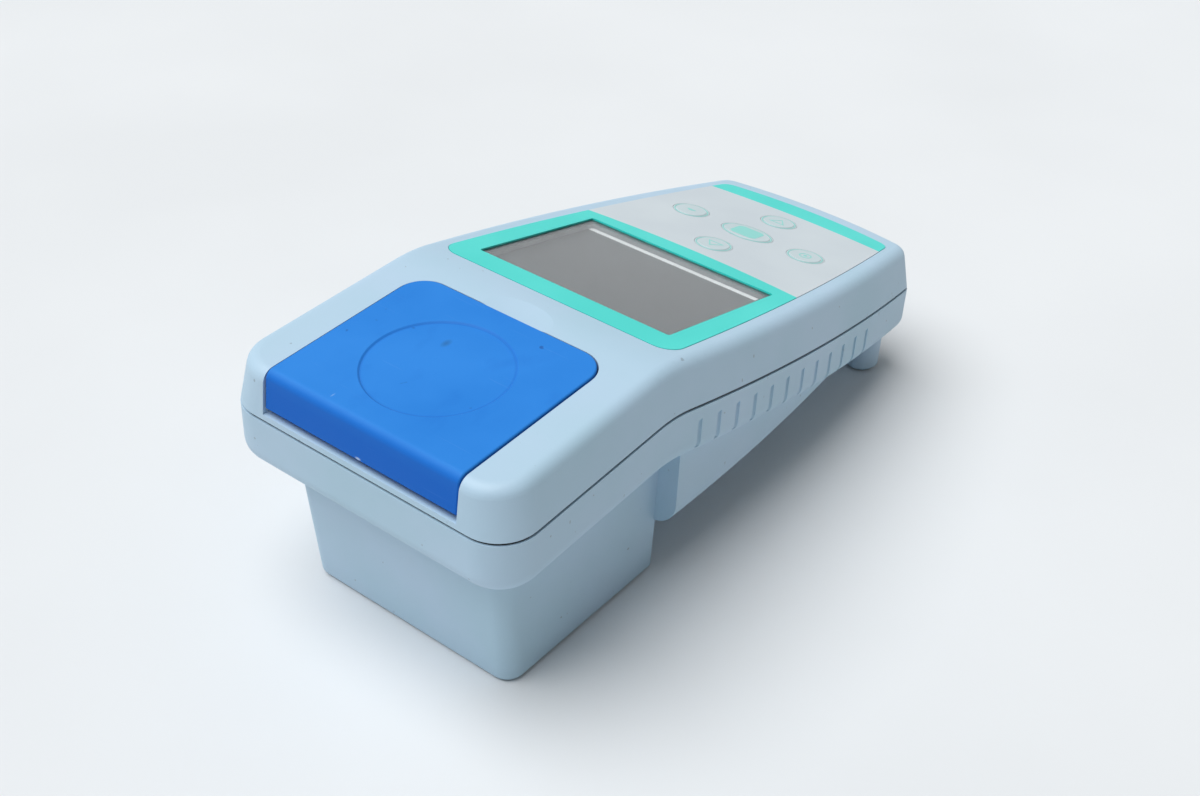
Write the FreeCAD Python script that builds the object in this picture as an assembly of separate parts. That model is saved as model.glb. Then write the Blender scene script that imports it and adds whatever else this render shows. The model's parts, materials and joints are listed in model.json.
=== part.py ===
import FreeCAD
import Part
import math
import os
from FreeCAD import Vector

os.makedirs("parts", exist_ok=True)

# A hand-held turbidity meter that stands on its own sample block and two feet.
# X is the width, +Y points to the lid end, -Y to the user, Z is up.
# The origin is on the bench under the middle of the case. Sizes are in millimetres.

# Case form
HALF_LENGTH = 104.5
HALF_WIDTH = 42.0
LID_END_LENGTH = 63.2
BEND_Z = 75.0
BEND_RADIUS = 45.0
KEYPAD_ANGLE = 13.0
LID_ANGLE = 2.4
PARTING_DEPTH = 13.3
SIDE_DRAFT = 0.20
LID_END_DRAFT = 0.11
KEY_END_DRAFT = 0.15
SIDE_RADIUS = 685.0
SIDE_ARC_LEAD = 3.7
KEY_END_RADIUS = 130.0
LID_END_CORNER = 11.0
KEY_END_CORNER = 6.5
TOP_EDGE_RADIUS = 3.5
WALL = 2.4

# Joint between the two shells
GASKET_THICK = 0.8
GASKET_RECESS = 0.6
GASKET_WIDTH = 1.4
GASKET_CLEARANCE = 0.6

# Lower shell
BAND_DEPTH = 15.8
BAND_EDGE_RADIUS = 5.0
HANDLE_INSET = 4.0
HANDLE_END_DEPTH = 10.2
HANDLE_EDGE_RADIUS = 8.0
HANDLE_CORNER = 9.0
HANDLE_LAP = 1.5
BLOCK_SIDE_INSET = 8.0
BLOCK_LENGTH = 58.8
BLOCK_END_INSET = 15.2
BLOCK_SIDE_DRAFT = 0.025
BLOCK_FRONT_DRAFT = 0.105
BLOCK_CORNER = 5.0
BLOCK_BACK_CORNER = 1.2
BLOCK_EDGE_RADIUS = 1.2
GROOVE_COUNT = 12
GROOVE_PITCH = 8.5
GROOVE_RADIUS = 0.85
GROOVE_LENGTH = 8.8
GROOVE_DROP = 4.2

# Feet
FOOT_STAND = 0.5
FOOT_THICK = 1.5
BLOCK_FOOT_RADIUS = 4.5
BLOCK_FOOT_INSET = 10.0
POST_X = 27.0
POST_END_INSET = 13.0
POST_RADIUS = 5.5
POST_BEVEL = 1.2
POST_FOOT_RADIUS = 3.6

# Lid and its pocket; runs are measured along the lid's slope from the bend
LID_INNER_RUN = 8.2
LID_SET_BACK = 0.3
LID_DEEP = 20.0
LID_SIDE_INSET = 11.7
LID_BOTTOM = 62.3
LID_PROUD = 0.5
LID_WALL = 2.2
LID_CORNER = 7.5
LID_FRONT_RADIUS = 2.6
LID_EDGE_RADIUS = 0.5
LID_CHAMFER = 0.7
LID_GAP = 0.45
POCKET_FLOOR = 60.9
POCKET_WALL = 2.0
PIN_END_INSET = 4.2
PIN_RISE = 4.2
PIN_RADIUS = 1.25
PIN_CHEEK = 1.5
PIN_SEAT_DEPTH = 3.6
RUNNING_FIT = 0.06
HINGE_BAR_DEPTH = 6.5
MARK_LEAD = 3.0
MARK_RADIUS = 18.4
MARK_DEPTH = 0.35
MARK_BEVEL = 0.5
SCOOP_LEAD = 9.7
SCOOP_RADIUS = 9.8
SCOOP_DEPTH = 0.6

# Sample well and optics
WELL_END_INSET = 31.3
WELL_RADIUS = 12.25
WELL_WALL = 1.3
WELL_BOTTOM = 4.2
WELL_FLOOR = 1.2
COLLAR_RADIUS = 18.2
COLLAR_THICK = 1.7
SEAL_RADIUS = 15.3
SEAL_WIDTH = 1.9
SEAL_THICK = 1.4
SEAL_GAP = 0.3
BEAM_Z = 28.0
BEAM_RADIUS = 2.5
OPTIC_HALF_WIDTH = 25.0
OPTIC_BACK_REACH = 17.2
OPTIC_FRONT_REACH = 10.8
OPTIC_BOTTOM = 15.0
OPTIC_TOP = 42.0
SENSOR_BOARD_THICK = 1.6
DIODE_RADIUS = 2.45
DETECTOR_RADIUS = 4.2
LENS_THICK = 2.0

# Panel, measured along the keypad slope from the bend, minus towards the user
FILM_THICK = 0.5
FILM_RECESS = 0.4
FILM_GAP = 0.15
FILM_SIDE_INSET = 4.5
FILM_TOP_S = -6.9
FILM_ARC_START_S = -17.8
FILM_SIDE_RADIUS = 900.0
FILM_END_INSET = 9.2
FILM_END_RADIUS = 125.0
FILM_TOP_CORNER = 5.5
FILM_END_CORNER = 4.0
WINDOW_HALF_WIDTH = 31.0
WINDOW_TOP_S = -15.4
WINDOW_TO_KEYS = 36.0
WINDOW_LEDGE = 1.4
WINDOW_CORNER = 0.8
LENS_PLATE_THICK = 1.2
LENS_LAP = 0.4
DISPLAY_DEPTH = 3.1
GLASS_THICK = 2.0
GLASS_END_GAP = 3.4
BEZEL_WALL = 1.2
FRAME_WALL = 2.2
BACKLIGHT_THICK = 1.4

# Keys
KEY_ROW_TO_FILM_END = 38.4
KEY_STEP_S = 18.6
KEY_STEP_X = 20.3
KEY_RADIUS = 5.6
READ_KEY_LENGTH = 16.8
READ_KEY_WIDTH = 12.0
KEY_CROWN = 0.2
KEY_CROWN_MARGIN = 0.9
KEY_CROWN_BEVEL = 0.7
KEY_TRAVEL = 0.4
KEY_GAP = 0.12
STEM_RADIUS = 3.0
DOME_RADIUS = 3.1
DOME_CROWN_RADIUS = 1.6
DOME_HEIGHT = 0.9

# Circuit board
BOARD_DEPTH = 8.0
BOARD_THICK = 1.6
BOARD_TOP_S = -5.5
BOARD_END_INSET = 6.4
BOARD_MARGIN = 3.2
BOSS_RADIUS = 3.0
BOARD_SCREW_RADIUS = 1.2
BOARD_SCREW_REACH = 3.6
BOARD_SCREW_HEAD_RADIUS = 2.2
CHIP_CORNER = 0.5
CABLE_INSET = 9.0
BUZZER_LEAD = 13.0
BUZZER_RADIUS = 5.5
BUZZER_HEIGHT = 3.2
BUZZER_PORT = 1.0

# Case screws
SCREW_RADIUS = 1.5
SCREW_HEAD_RADIUS = 2.8
SCREW_HEAD_THICK = 2.0
SCREW_SEAT_DEPTH = 8.0
SCREW_REACH = 6.5
SCREW_CLEARANCE = 0.2
CASE_BOSS_RADIUS = 3.8
LID_END_SCREW_INSET_X = 4.2
LID_END_SCREW_INSET_Y = 9.1
MID_SCREW_INSET_X = 2.8
MID_SCREW_LEAD = 4.8
KEY_END_SCREW_X = 13.0
KEY_END_SCREW_INSET_Y = 9.5

# Battery bay
CELL_RADIUS = 5.25
CELL_LENGTH = 44.5
CELL_NUB_RADIUS = 1.9
CELL_NUB = 1.0
CELL_PITCH = 11.2
CELL_COUNT = 4
DOOR_SIDE_ROOM = 2.6
DOOR_END_INSET = 42.5
DOOR_END_ROOM = 8.1
DOOR_THICK = 2.2
DOOR_GAP = 0.3
DOOR_CORNER = 3.0
TRAY_WALL = 1.5
TRAY_HEAD = 0.3
CONTACT_THICK = 0.4
SPRING_LENGTH = 4.2
SPRING_COILS = 4
SPRING_RADIUS = 3.8
SPRING_TAPER = 0.5
HOOK_WIDTH = 2.4
HOOK_REACH = 2.7
HOOK_THICK = 1.1

# Places that follow from the sizes above
KEYPAD_SLOPE = math.tan(math.radians(KEYPAD_ANGLE))
LID_SLOPE = math.tan(math.radians(LID_ANGLE))
BEND_Y = HALF_LENGTH - LID_END_LENGTH
SIDE_ARC_START = BEND_Y + SIDE_ARC_LEAD
BLOCK_HALF_WIDTH = HALF_WIDTH - BLOCK_SIDE_INSET
BLOCK_FRONT = HALF_LENGTH - BLOCK_END_INSET
BLOCK_BACK = BLOCK_FRONT - BLOCK_LENGTH
POST_Y = -HALF_LENGTH + POST_END_INSET
LID_HALF_WIDTH = HALF_WIDTH - LID_SIDE_INSET
PIN_Y = HALF_LENGTH - PIN_END_INSET
PIN_Z = LID_BOTTOM + PIN_RISE
WELL_Y = HALF_LENGTH - WELL_END_INSET
MARK_Y = WELL_Y + MARK_LEAD
LID_END_SCREW_X = HALF_WIDTH - LID_END_SCREW_INSET_X
LID_END_SCREW_Y = HALF_LENGTH - LID_END_SCREW_INSET_Y
MID_SCREW_X = HALF_WIDTH - MID_SCREW_INSET_X
MID_SCREW_Y = BEND_Y - MID_SCREW_LEAD
KEY_END_SCREW_Y = -HALF_LENGTH + KEY_END_SCREW_INSET_Y
SCOOP_Y = BEND_Y + SCOOP_LEAD
OPTIC_BACK = WELL_Y - OPTIC_BACK_REACH
OPTIC_FRONT = WELL_Y + OPTIC_FRONT_REACH
FILM_HALF_WIDTH = HALF_WIDTH - FILM_SIDE_INSET
FILM_END_S = FILM_END_INSET - (HALF_LENGTH + BEND_Y) / math.cos(math.radians(KEYPAD_ANGLE))
KEY_ROW_S = FILM_END_S + KEY_ROW_TO_FILM_END
WINDOW_END_S = KEY_ROW_S + WINDOW_TO_KEYS
BOARD_END_S = FILM_END_S + BOARD_END_INSET
DOOR_HALF_WIDTH = CELL_PITCH * CELL_COUNT / 2 + DOOR_SIDE_ROOM
DOOR_END_Y = -HALF_LENGTH + DOOR_END_INSET
DOOR_TOP_Y = DOOR_END_Y + CELL_LENGTH + DOOR_END_ROOM
TALL = 60.0
X_AXIS = Vector(1, 0, 0)
Y_AXIS = Vector(0, 1, 0)
Z_AXIS = Vector(0, 0, 1)
PANEL = FreeCAD.Placement(Vector(0, BEND_Y, BEND_Z), FreeCAD.Rotation(X_AXIS, KEYPAD_ANGLE))
LID_PLANE = FreeCAD.Placement(Vector(0, BEND_Y, BEND_Z), FreeCAD.Rotation(X_AXIS, -LID_ANGLE))


def top_height(y):
    """Height of the case top over the middle line, before the bend is rounded."""
    if y > BEND_Y:
        return BEND_Z - LID_SLOPE * (y - BEND_Y)
    return BEND_Z + KEYPAD_SLOPE * (y - BEND_Y)


PARTING_AT_LID_END = top_height(HALF_LENGTH) - PARTING_DEPTH
PARTING_AT_KEY_END = top_height(-HALF_LENGTH) - PARTING_DEPTH
HANDLE_BOTTOM = PARTING_AT_KEY_END - HANDLE_END_DEPTH


def on_lid_plane(shape):
    """Moves a shape drawn flat at the bend onto the slope of the lid."""
    placed = shape.copy()
    placed.Placement = LID_PLANE.multiply(placed.Placement)
    return placed


def on_panel(shape):
    """Moves a shape drawn flat at the bend onto the sloping panel."""
    placed = shape.copy()
    placed.Placement = PANEL.multiply(placed.Placement)
    return placed


def box(x0, x1, y0, y1, z0, z1):
    return Part.makeBox(x1 - x0, y1 - y0, z1 - z0, Vector(x0, y0, z0))


def cylinder(radius, start, length, axis=Z_AXIS):
    return Part.makeCylinder(radius, length, start, axis)


def tube(outer, inner, start, length, axis=Z_AXIS):
    return cylinder(outer, start, length, axis).cut(cylinder(inner, start, length, axis))


def fused(shapes):
    whole = shapes[0]
    if len(shapes) > 1:
        whole = whole.multiFuse(shapes[1:])
    return whole.removeSplitter()


def middle(edge):
    return edge.valueAt((edge.FirstParameter + edge.LastParameter) / 2)


def upright_edges(shape, test):
    """Edges along Z whose place passes the test."""
    chosen = []
    for edge in shape.Edges:
        ends = [v.Point for v in edge.Vertexes]
        if len(ends) == 2 and abs(ends[0].x - ends[1].x) < 0.01 and abs(ends[0].y - ends[1].y) < 0.01:
            if test(ends[0].x, ends[0].y):
                chosen.append(edge)
    return chosen


def tall_edges(shape, height, test):
    """Edges that rise by more than the height and whose middle passes the test in y."""
    chosen = []
    for edge in shape.Edges:
        ends = [v.Point for v in edge.Vertexes]
        if abs(ends[0].z - ends[-1].z) > height and test(middle(edge).y):
            chosen.append(edge)
    return chosen


def prism(points, length):
    """Block with the given side view, drawn in Y and Z, that runs across X about the middle."""
    corners = [Vector(-length / 2, y, z) for y, z in points]
    return Part.Face(Part.makePolygon(corners + corners[:1])).extrude(Vector(length, 0, 0))


def rounded_box(x0, x1, y0, y1, z0, z1, radius):
    solid = box(x0, x1, y0, y1, z0, z1)
    return solid.makeFillet(radius, upright_edges(solid, lambda x, y: True))


# Outer form of the case
def meeting_point(centre_x, centre_y, radius, end_y, end_radius):
    """Where a long side arc meets the arc of the key end, on the +X side."""
    dx = -centre_x
    dy = end_y + end_radius - centre_y
    gap = math.hypot(dx, dy)
    along = (radius ** 2 - end_radius ** 2 + gap ** 2) / (2 * gap)
    across = math.sqrt(radius ** 2 - along ** 2)
    base_x = centre_x + along * dx / gap
    base_y = centre_y + along * dy / gap
    first = (base_x + across * dy / gap, base_y - across * dx / gap)
    second = (base_x - across * dy / gap, base_y + across * dx / gap)
    return min(first, second, key=lambda point: point[1])


def waisted_outline(z, half_width, top_y, arc_start, side_radius, end_y, end_radius):
    """Outline with straight sides that curve in towards an arched end."""
    centre_x = half_width - side_radius
    corner = meeting_point(centre_x, arc_start, side_radius, end_y, end_radius)
    half_turn = math.atan2(corner[1] - arc_start, corner[0] - centre_x) / 2
    side = (centre_x + side_radius * math.cos(half_turn), arc_start + side_radius * math.sin(half_turn))
    edges = [
        Part.LineSegment(Vector(-half_width, top_y, z), Vector(half_width, top_y, z)),
        Part.LineSegment(Vector(half_width, top_y, z), Vector(half_width, arc_start, z)),
        Part.Arc(Vector(half_width, arc_start, z), Vector(side[0], side[1], z), Vector(corner[0], corner[1], z)),
        Part.Arc(Vector(corner[0], corner[1], z), Vector(0, end_y, z), Vector(-corner[0], corner[1], z)),
        Part.Arc(Vector(-corner[0], corner[1], z), Vector(-side[0], side[1], z), Vector(-half_width, arc_start, z)),
        Part.LineSegment(Vector(-half_width, arc_start, z), Vector(-half_width, top_y, z)),
    ]
    return Part.Wire([edge.toShape() for edge in edges])


def side_reach(z, inset):
    """Half width of the case where its sides are straight."""
    return HALF_WIDTH + (BEND_Z - z) * SIDE_DRAFT - inset


def lid_end_reach(z, inset):
    return HALF_LENGTH - (z - PARTING_AT_LID_END) * LID_END_DRAFT - inset


def past_lid_end(inset, low, high):
    """Block that starts at the drafted end wall and runs away from the case."""
    far = HALF_LENGTH * 3
    points = [(lid_end_reach(low, inset), low), (lid_end_reach(high, inset), high), (far, high), (far, low)]
    return prism(points, HALF_WIDTH * 4)


def leaning_cone(centre_x, centre_y, low, high, radius_at):
    """Upright cone whose flank is a drafted curved wall, with its seam turned to +Y."""
    centre = Vector(centre_x, centre_y, low)
    cone = Part.makeCone(radius_at(low), radius_at(high), high - low, centre)
    cone.rotate(centre, Z_AXIS, 90)
    return cone


def envelope(inset, key_end_corner=KEY_END_CORNER):
    """Drafted block whose walls are the sides of the case, moved in by the inset."""
    low = PARTING_AT_KEY_END - 20
    high = BEND_Z + 10
    half = HALF_WIDTH * 2
    section = [
        Vector(-side_reach(low, inset), SIDE_ARC_START, low),
        Vector(side_reach(low, inset), SIDE_ARC_START, low),
        Vector(side_reach(high, inset), SIDE_ARC_START, high),
        Vector(-side_reach(high, inset), SIDE_ARC_START, high),
    ]
    straight = Part.Face(Part.makePolygon(section + section[:1])).extrude(Vector(0, HALF_LENGTH, 0))
    straight = straight.cut(past_lid_end(inset, low - 1, high + 1))
    curved = box(-half, half, -HALF_LENGTH * 1.2, SIDE_ARC_START, low, high)
    for side in (-1, 1):
        centre_x = side * (HALF_WIDTH - SIDE_RADIUS)
        flank = leaning_cone(
            centre_x, SIDE_ARC_START, low, high,
            lambda z: SIDE_RADIUS + (BEND_Z - z) * SIDE_DRAFT - inset,
        )
        curved = curved.common(flank)
    end = leaning_cone(
        0, KEY_END_RADIUS - HALF_LENGTH, low, high,
        lambda z: KEY_END_RADIUS - (z - PARTING_AT_KEY_END) * KEY_END_DRAFT - inset,
    )
    solid = fused([straight, curved.common(end)])
    height = high - low - 1
    solid = solid.makeFillet(LID_END_CORNER - inset, tall_edges(solid, height, lambda y: y > SIDE_ARC_START + 1))
    return solid.makeFillet(max(key_end_corner - inset, 1.0), tall_edges(solid, height, lambda y: y < 0))


def under_top(depth):
    """Everything below the bent top surface, lowered by the depth."""
    reach = HALF_LENGTH + 25
    half = HALF_WIDTH + 18
    low = -80.0
    keypad = math.radians(KEYPAD_ANGLE)
    lid = math.radians(LID_ANGLE)
    tangent = BEND_RADIUS * math.tan((keypad + lid) / 2)
    z = BEND_Z - depth
    start = Vector(-half, -reach, z - KEYPAD_SLOPE * (reach + BEND_Y))
    bend_in = Vector(-half, BEND_Y - tangent * math.cos(keypad), z - tangent * math.sin(keypad))
    bend_out = Vector(-half, BEND_Y + tangent * math.cos(lid), z - tangent * math.sin(lid))
    centre = bend_in + Vector(0, math.sin(keypad), -math.cos(keypad)) * BEND_RADIUS
    lean = (keypad - lid) / 2
    crown = centre + Vector(0, -math.sin(lean), math.cos(lean)) * BEND_RADIUS
    finish = Vector(-half, reach, z - LID_SLOPE * (reach - BEND_Y))
    corner_out = Vector(-half, reach, low)
    corner_in = Vector(-half, -reach, low)
    edges = [
        Part.LineSegment(start, bend_in),
        Part.Arc(bend_in, crown, bend_out),
        Part.LineSegment(bend_out, finish),
        Part.LineSegment(finish, corner_out),
        Part.LineSegment(corner_out, corner_in),
        Part.LineSegment(corner_in, start),
    ]
    profile = Part.Wire([edge.toShape() for edge in edges])
    return Part.Face(profile).extrude(Vector(2 * half, 0, 0))


def surface_rim(shape, depth):
    """Edges of a shape that run round the bent surface at the given depth."""
    rim = []
    for edge in shape.Edges:
        point = middle(edge)
        ends = [v.Point for v in edge.Vertexes]
        crosses = abs(ends[0].x - ends[-1].x) > HALF_WIDTH and abs(point.y - BEND_Y) < 12
        if abs(point.z - top_height(point.y) + depth) < 1.2 and not crosses:
            rim.append(edge)
    return rim


def fall_from_parting(form, depth, length):
    """Upright walls that hang from the section of a form at the given depth."""
    block = form.common(under_top(depth))
    walls = []
    for face in block.Faces:
        u0, u1, v0, v1 = face.ParameterRange
        if face.normalAt((u0 + u1) / 2, (v0 + v1) / 2).z > 0.9:
            walls.append(face.extrude(Vector(0, 0, -length)))
    return fused(walls)


# Screw places
def case_screw_places():
    places = []
    for x, y in ((LID_END_SCREW_X, LID_END_SCREW_Y), (MID_SCREW_X, MID_SCREW_Y), (KEY_END_SCREW_X, KEY_END_SCREW_Y)):
        places.append((-x, y))
        places.append((x, y))
    return places


def split_height(y):
    return top_height(y) - PARTING_DEPTH


def film_half_width(s):
    """Half width of the panel film at a place along the slope."""
    run = max(0.0, FILM_ARC_START_S - s)
    return FILM_HALF_WIDTH - FILM_SIDE_RADIUS + math.sqrt(FILM_SIDE_RADIUS ** 2 - run ** 2)


def board_screw_places():
    """Places on the panel, in its own plane, of the board bosses."""
    places = []
    for s in (BOARD_TOP_S - 4.0, WINDOW_END_S - 8.5, BOARD_END_S + 5.0):
        x = film_half_width(s) - BOARD_MARGIN - BOSS_RADIUS - 0.6
        places.append((-x, s))
        places.append((x, s))
    return places


def round_key_places():
    return {
        "power_key": (-KEY_STEP_X, KEY_ROW_S),
        "menu_key": (KEY_STEP_X, KEY_ROW_S),
        "up_key": (0, KEY_ROW_S + KEY_STEP_S),
        "down_key": (0, KEY_ROW_S - KEY_STEP_S),
    }


def key_places():
    places = dict(round_key_places())
    places["read_key"] = (0, KEY_ROW_S)
    return places


def key_blank(name, grow, z0, z1):
    """Prism of a key's outline in the panel's plane, grown by a clearance."""
    x, s = key_places()[name]
    if name == "read_key":
        half_length = READ_KEY_LENGTH / 2 + grow
        half_width = READ_KEY_WIDTH / 2 + grow
        ellipse = Part.Ellipse(Vector(x, s, z0), half_length, half_width)
        return Part.Face(Part.Wire(ellipse.toShape())).extrude(Vector(0, 0, z1 - z0))
    return cylinder(KEY_RADIUS + grow, Vector(x, s, z0), z1 - z0)


def film_blank(grow, z0, z1):
    """Prism of the panel film's outline, grown by a clearance."""
    outline = waisted_outline(
        z0,
        FILM_HALF_WIDTH + grow,
        FILM_TOP_S + grow,
        FILM_ARC_START_S,
        FILM_SIDE_RADIUS,
        FILM_END_S - grow,
        FILM_END_RADIUS,
    )
    solid = Part.Face(outline).extrude(Vector(0, 0, z1 - z0))
    top = upright_edges(solid, lambda x, y: y > FILM_TOP_S - 2)
    solid = solid.makeFillet(FILM_TOP_CORNER + grow, top)
    end = upright_edges(solid, lambda x, y: y < FILM_END_S + 12)
    return solid.makeFillet(FILM_END_CORNER + grow, end)


def window_blank(grow, z0, z1):
    return rounded_box(
        -WINDOW_HALF_WIDTH - grow,
        WINDOW_HALF_WIDTH + grow,
        WINDOW_END_S - grow,
        WINDOW_TOP_S + grow,
        z0,
        z1,
        WINDOW_CORNER + max(grow, 0),
    )


def lid_blank(grow, top, front_run):
    """Lid's plan with rounded corners, square to its slope, as a flat block."""
    half = LID_HALF_WIDTH + grow
    solid = box(-half, half, LID_INNER_RUN - grow, front_run, -LID_DEEP, top)
    corners = upright_edges(solid, lambda x, y: y < LID_INNER_RUN + LID_CORNER)
    return solid.makeFillet(LID_CORNER + grow, corners)


def above(shape, z):
    """The part of a shape that lies above a level."""
    return shape.common(box(-TALL, TALL, -TALL * 2, TALL * 2, z, TALL * 2)).Solids[0]


# Shells
def upper_housing():
    skin = envelope(0).common(under_top(0))
    skin = skin.makeFillet(TOP_EDGE_RADIUS, surface_rim(skin, 0))
    below_joint = under_top(PARTING_DEPTH - GASKET_THICK / 2)
    shell = skin.cut(below_joint)
    shell = shell.cut(envelope(WALL).common(under_top(WALL)))

    # Tub that holds the lid, let down from the top wall
    half = LID_HALF_WIDTH + LID_GAP + POCKET_WALL
    tub_floor = POCKET_FLOOR - POCKET_WALL
    tub_start = BEND_Y + LID_INNER_RUN - LID_GAP - POCKET_WALL
    tub = box(-half, half, tub_start, HALF_LENGTH, tub_floor, BEND_Z)
    tub_above = tub.cut(below_joint).common(envelope(WALL / 2).common(under_top(WALL / 2)))
    joint_inset = GASKET_RECESS + GASKET_WIDTH + GASKET_CLEARANCE
    tub_below = tub.common(under_top(PARTING_DEPTH - GASKET_THICK)).common(envelope(joint_inset))
    bosses = []
    for x, y in case_screw_places():
        z = split_height(y)
        boss = cylinder(CASE_BOSS_RADIUS, Vector(x, y, z), TALL)
        bosses.append(boss.common(envelope(WALL / 2).common(under_top(WALL / 2))))
    for x, s in board_screw_places():
        boss = on_panel(cylinder(BOSS_RADIUS, Vector(x, s, -BOARD_DEPTH), BOARD_DEPTH - WALL / 2))
        bosses.append(boss)
    for side in (-1, 1):
        start = Vector(side * (LID_HALF_WIDTH + LID_GAP), PIN_Y, PIN_Z)
        bosses.append(cylinder(PIN_RADIUS + PIN_CHEEK, start, PIN_SEAT_DEPTH + PIN_CHEEK, Vector(side, 0, 0)))
    shell = fused([shell, tub_above, tub_below] + bosses)

    # Openings
    pocket = on_lid_plane(lid_blank(LID_GAP, LID_DEEP, HALF_LENGTH))
    shell = shell.cut(above(pocket, POCKET_FLOOR))
    pin_half = LID_HALF_WIDTH + LID_GAP + PIN_SEAT_DEPTH
    shell = shell.cut(cylinder(PIN_RADIUS, Vector(-pin_half, PIN_Y, PIN_Z), 2 * pin_half, X_AXIS))
    shell = shell.cut(cylinder(WELL_RADIUS + WELL_WALL + SEAL_GAP, Vector(0, WELL_Y, tub_floor - 1), 5))
    scoop_ball = (SCOOP_RADIUS ** 2 + SCOOP_DEPTH ** 2) / (2 * SCOOP_DEPTH)
    scoop_z = top_height(SCOOP_Y) - SCOOP_DEPTH + scoop_ball
    shell = shell.cut(Part.makeSphere(scoop_ball, Vector(0, SCOOP_Y, scoop_z)))
    cuts = [on_panel(film_blank(FILM_GAP, -FILM_RECESS, 5))]
    cuts.append(on_panel(window_blank(BEZEL_WALL, -WALL - 3, 0)))
    for name in key_places():
        cuts.append(on_panel(key_blank(name, KEY_GAP, -FILM_RECESS - KEY_TRAVEL - 0.2, 1)))
        x, s = key_places()[name]
        cuts.append(on_panel(cylinder(STEM_RADIUS + RUNNING_FIT, Vector(x, s, -WALL - 2), WALL + 2)))
    for x, s in board_screw_places():
        cuts.append(on_panel(cylinder(BOARD_SCREW_RADIUS, Vector(x, s, -BOARD_DEPTH), BOARD_SCREW_REACH)))
    for x, y in case_screw_places():
        cuts.append(cylinder(SCREW_RADIUS, Vector(x, y, split_height(y)), SCREW_REACH))
    for cut in cuts:
        shell = shell.cut(cut)
    return shell


def sample_block(inset, bottom):
    """Drafted block round the sample well, moved in by the inset."""
    top = split_height(BEND_Y) - WALL
    half = BLOCK_HALF_WIDTH - inset
    spread = BLOCK_SIDE_DRAFT * top
    lean = BLOCK_FRONT_DRAFT * top
    back = BLOCK_BACK + inset
    front = BLOCK_FRONT - inset
    low = [Vector(x, y, bottom) for x, y in ((-half, back), (half, back), (half, front), (-half, front))]
    high = []
    for point in low:
        out = math.copysign(half + spread, point.x)
        high.append(Vector(out, point.y + lean if point.y == front else point.y, top))
    floor = low[::-1]
    faces = [Part.Face(Part.makePolygon(floor + floor[:1])), Part.Face(Part.makePolygon(high + high[:1]))]
    for index in range(4):
        after = (index + 1) % 4
        corners = [low[index], low[after], high[after], high[index], low[index]]
        faces.append(Part.Face(Part.makePolygon(corners)))
    solid = Part.Solid(Part.Shell(faces))
    fronts = tall_edges(solid, 20, lambda y: y > WELL_Y)
    solid = solid.makeFillet(max(BLOCK_CORNER - inset, 1.0), fronts)
    backs = tall_edges(solid, 20, lambda y: y < BLOCK_BACK + inset + 0.5)
    return solid.makeFillet(BLOCK_BACK_CORNER, backs)


def handle_hull(inset, bottom):
    """Hull of the grip, hung from the parting section, and the edges round its bottom."""
    form = envelope(HANDLE_INSET + inset, HANDLE_INSET + HANDLE_CORNER)
    hull = fall_from_parting(form, PARTING_DEPTH + GASKET_THICK / 2, TALL + 10)
    end = BLOCK_BACK + HANDLE_LAP - inset
    hull = hull.common(box(-TALL, TALL, -HALF_LENGTH * 1.2, end, bottom, BEND_Z))
    rim = []
    for edge in hull.Edges:
        point = middle(edge)
        if abs(point.z - bottom) < 0.01 and point.y < end - 1:
            rim.append(edge)
    return hull, rim


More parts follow.
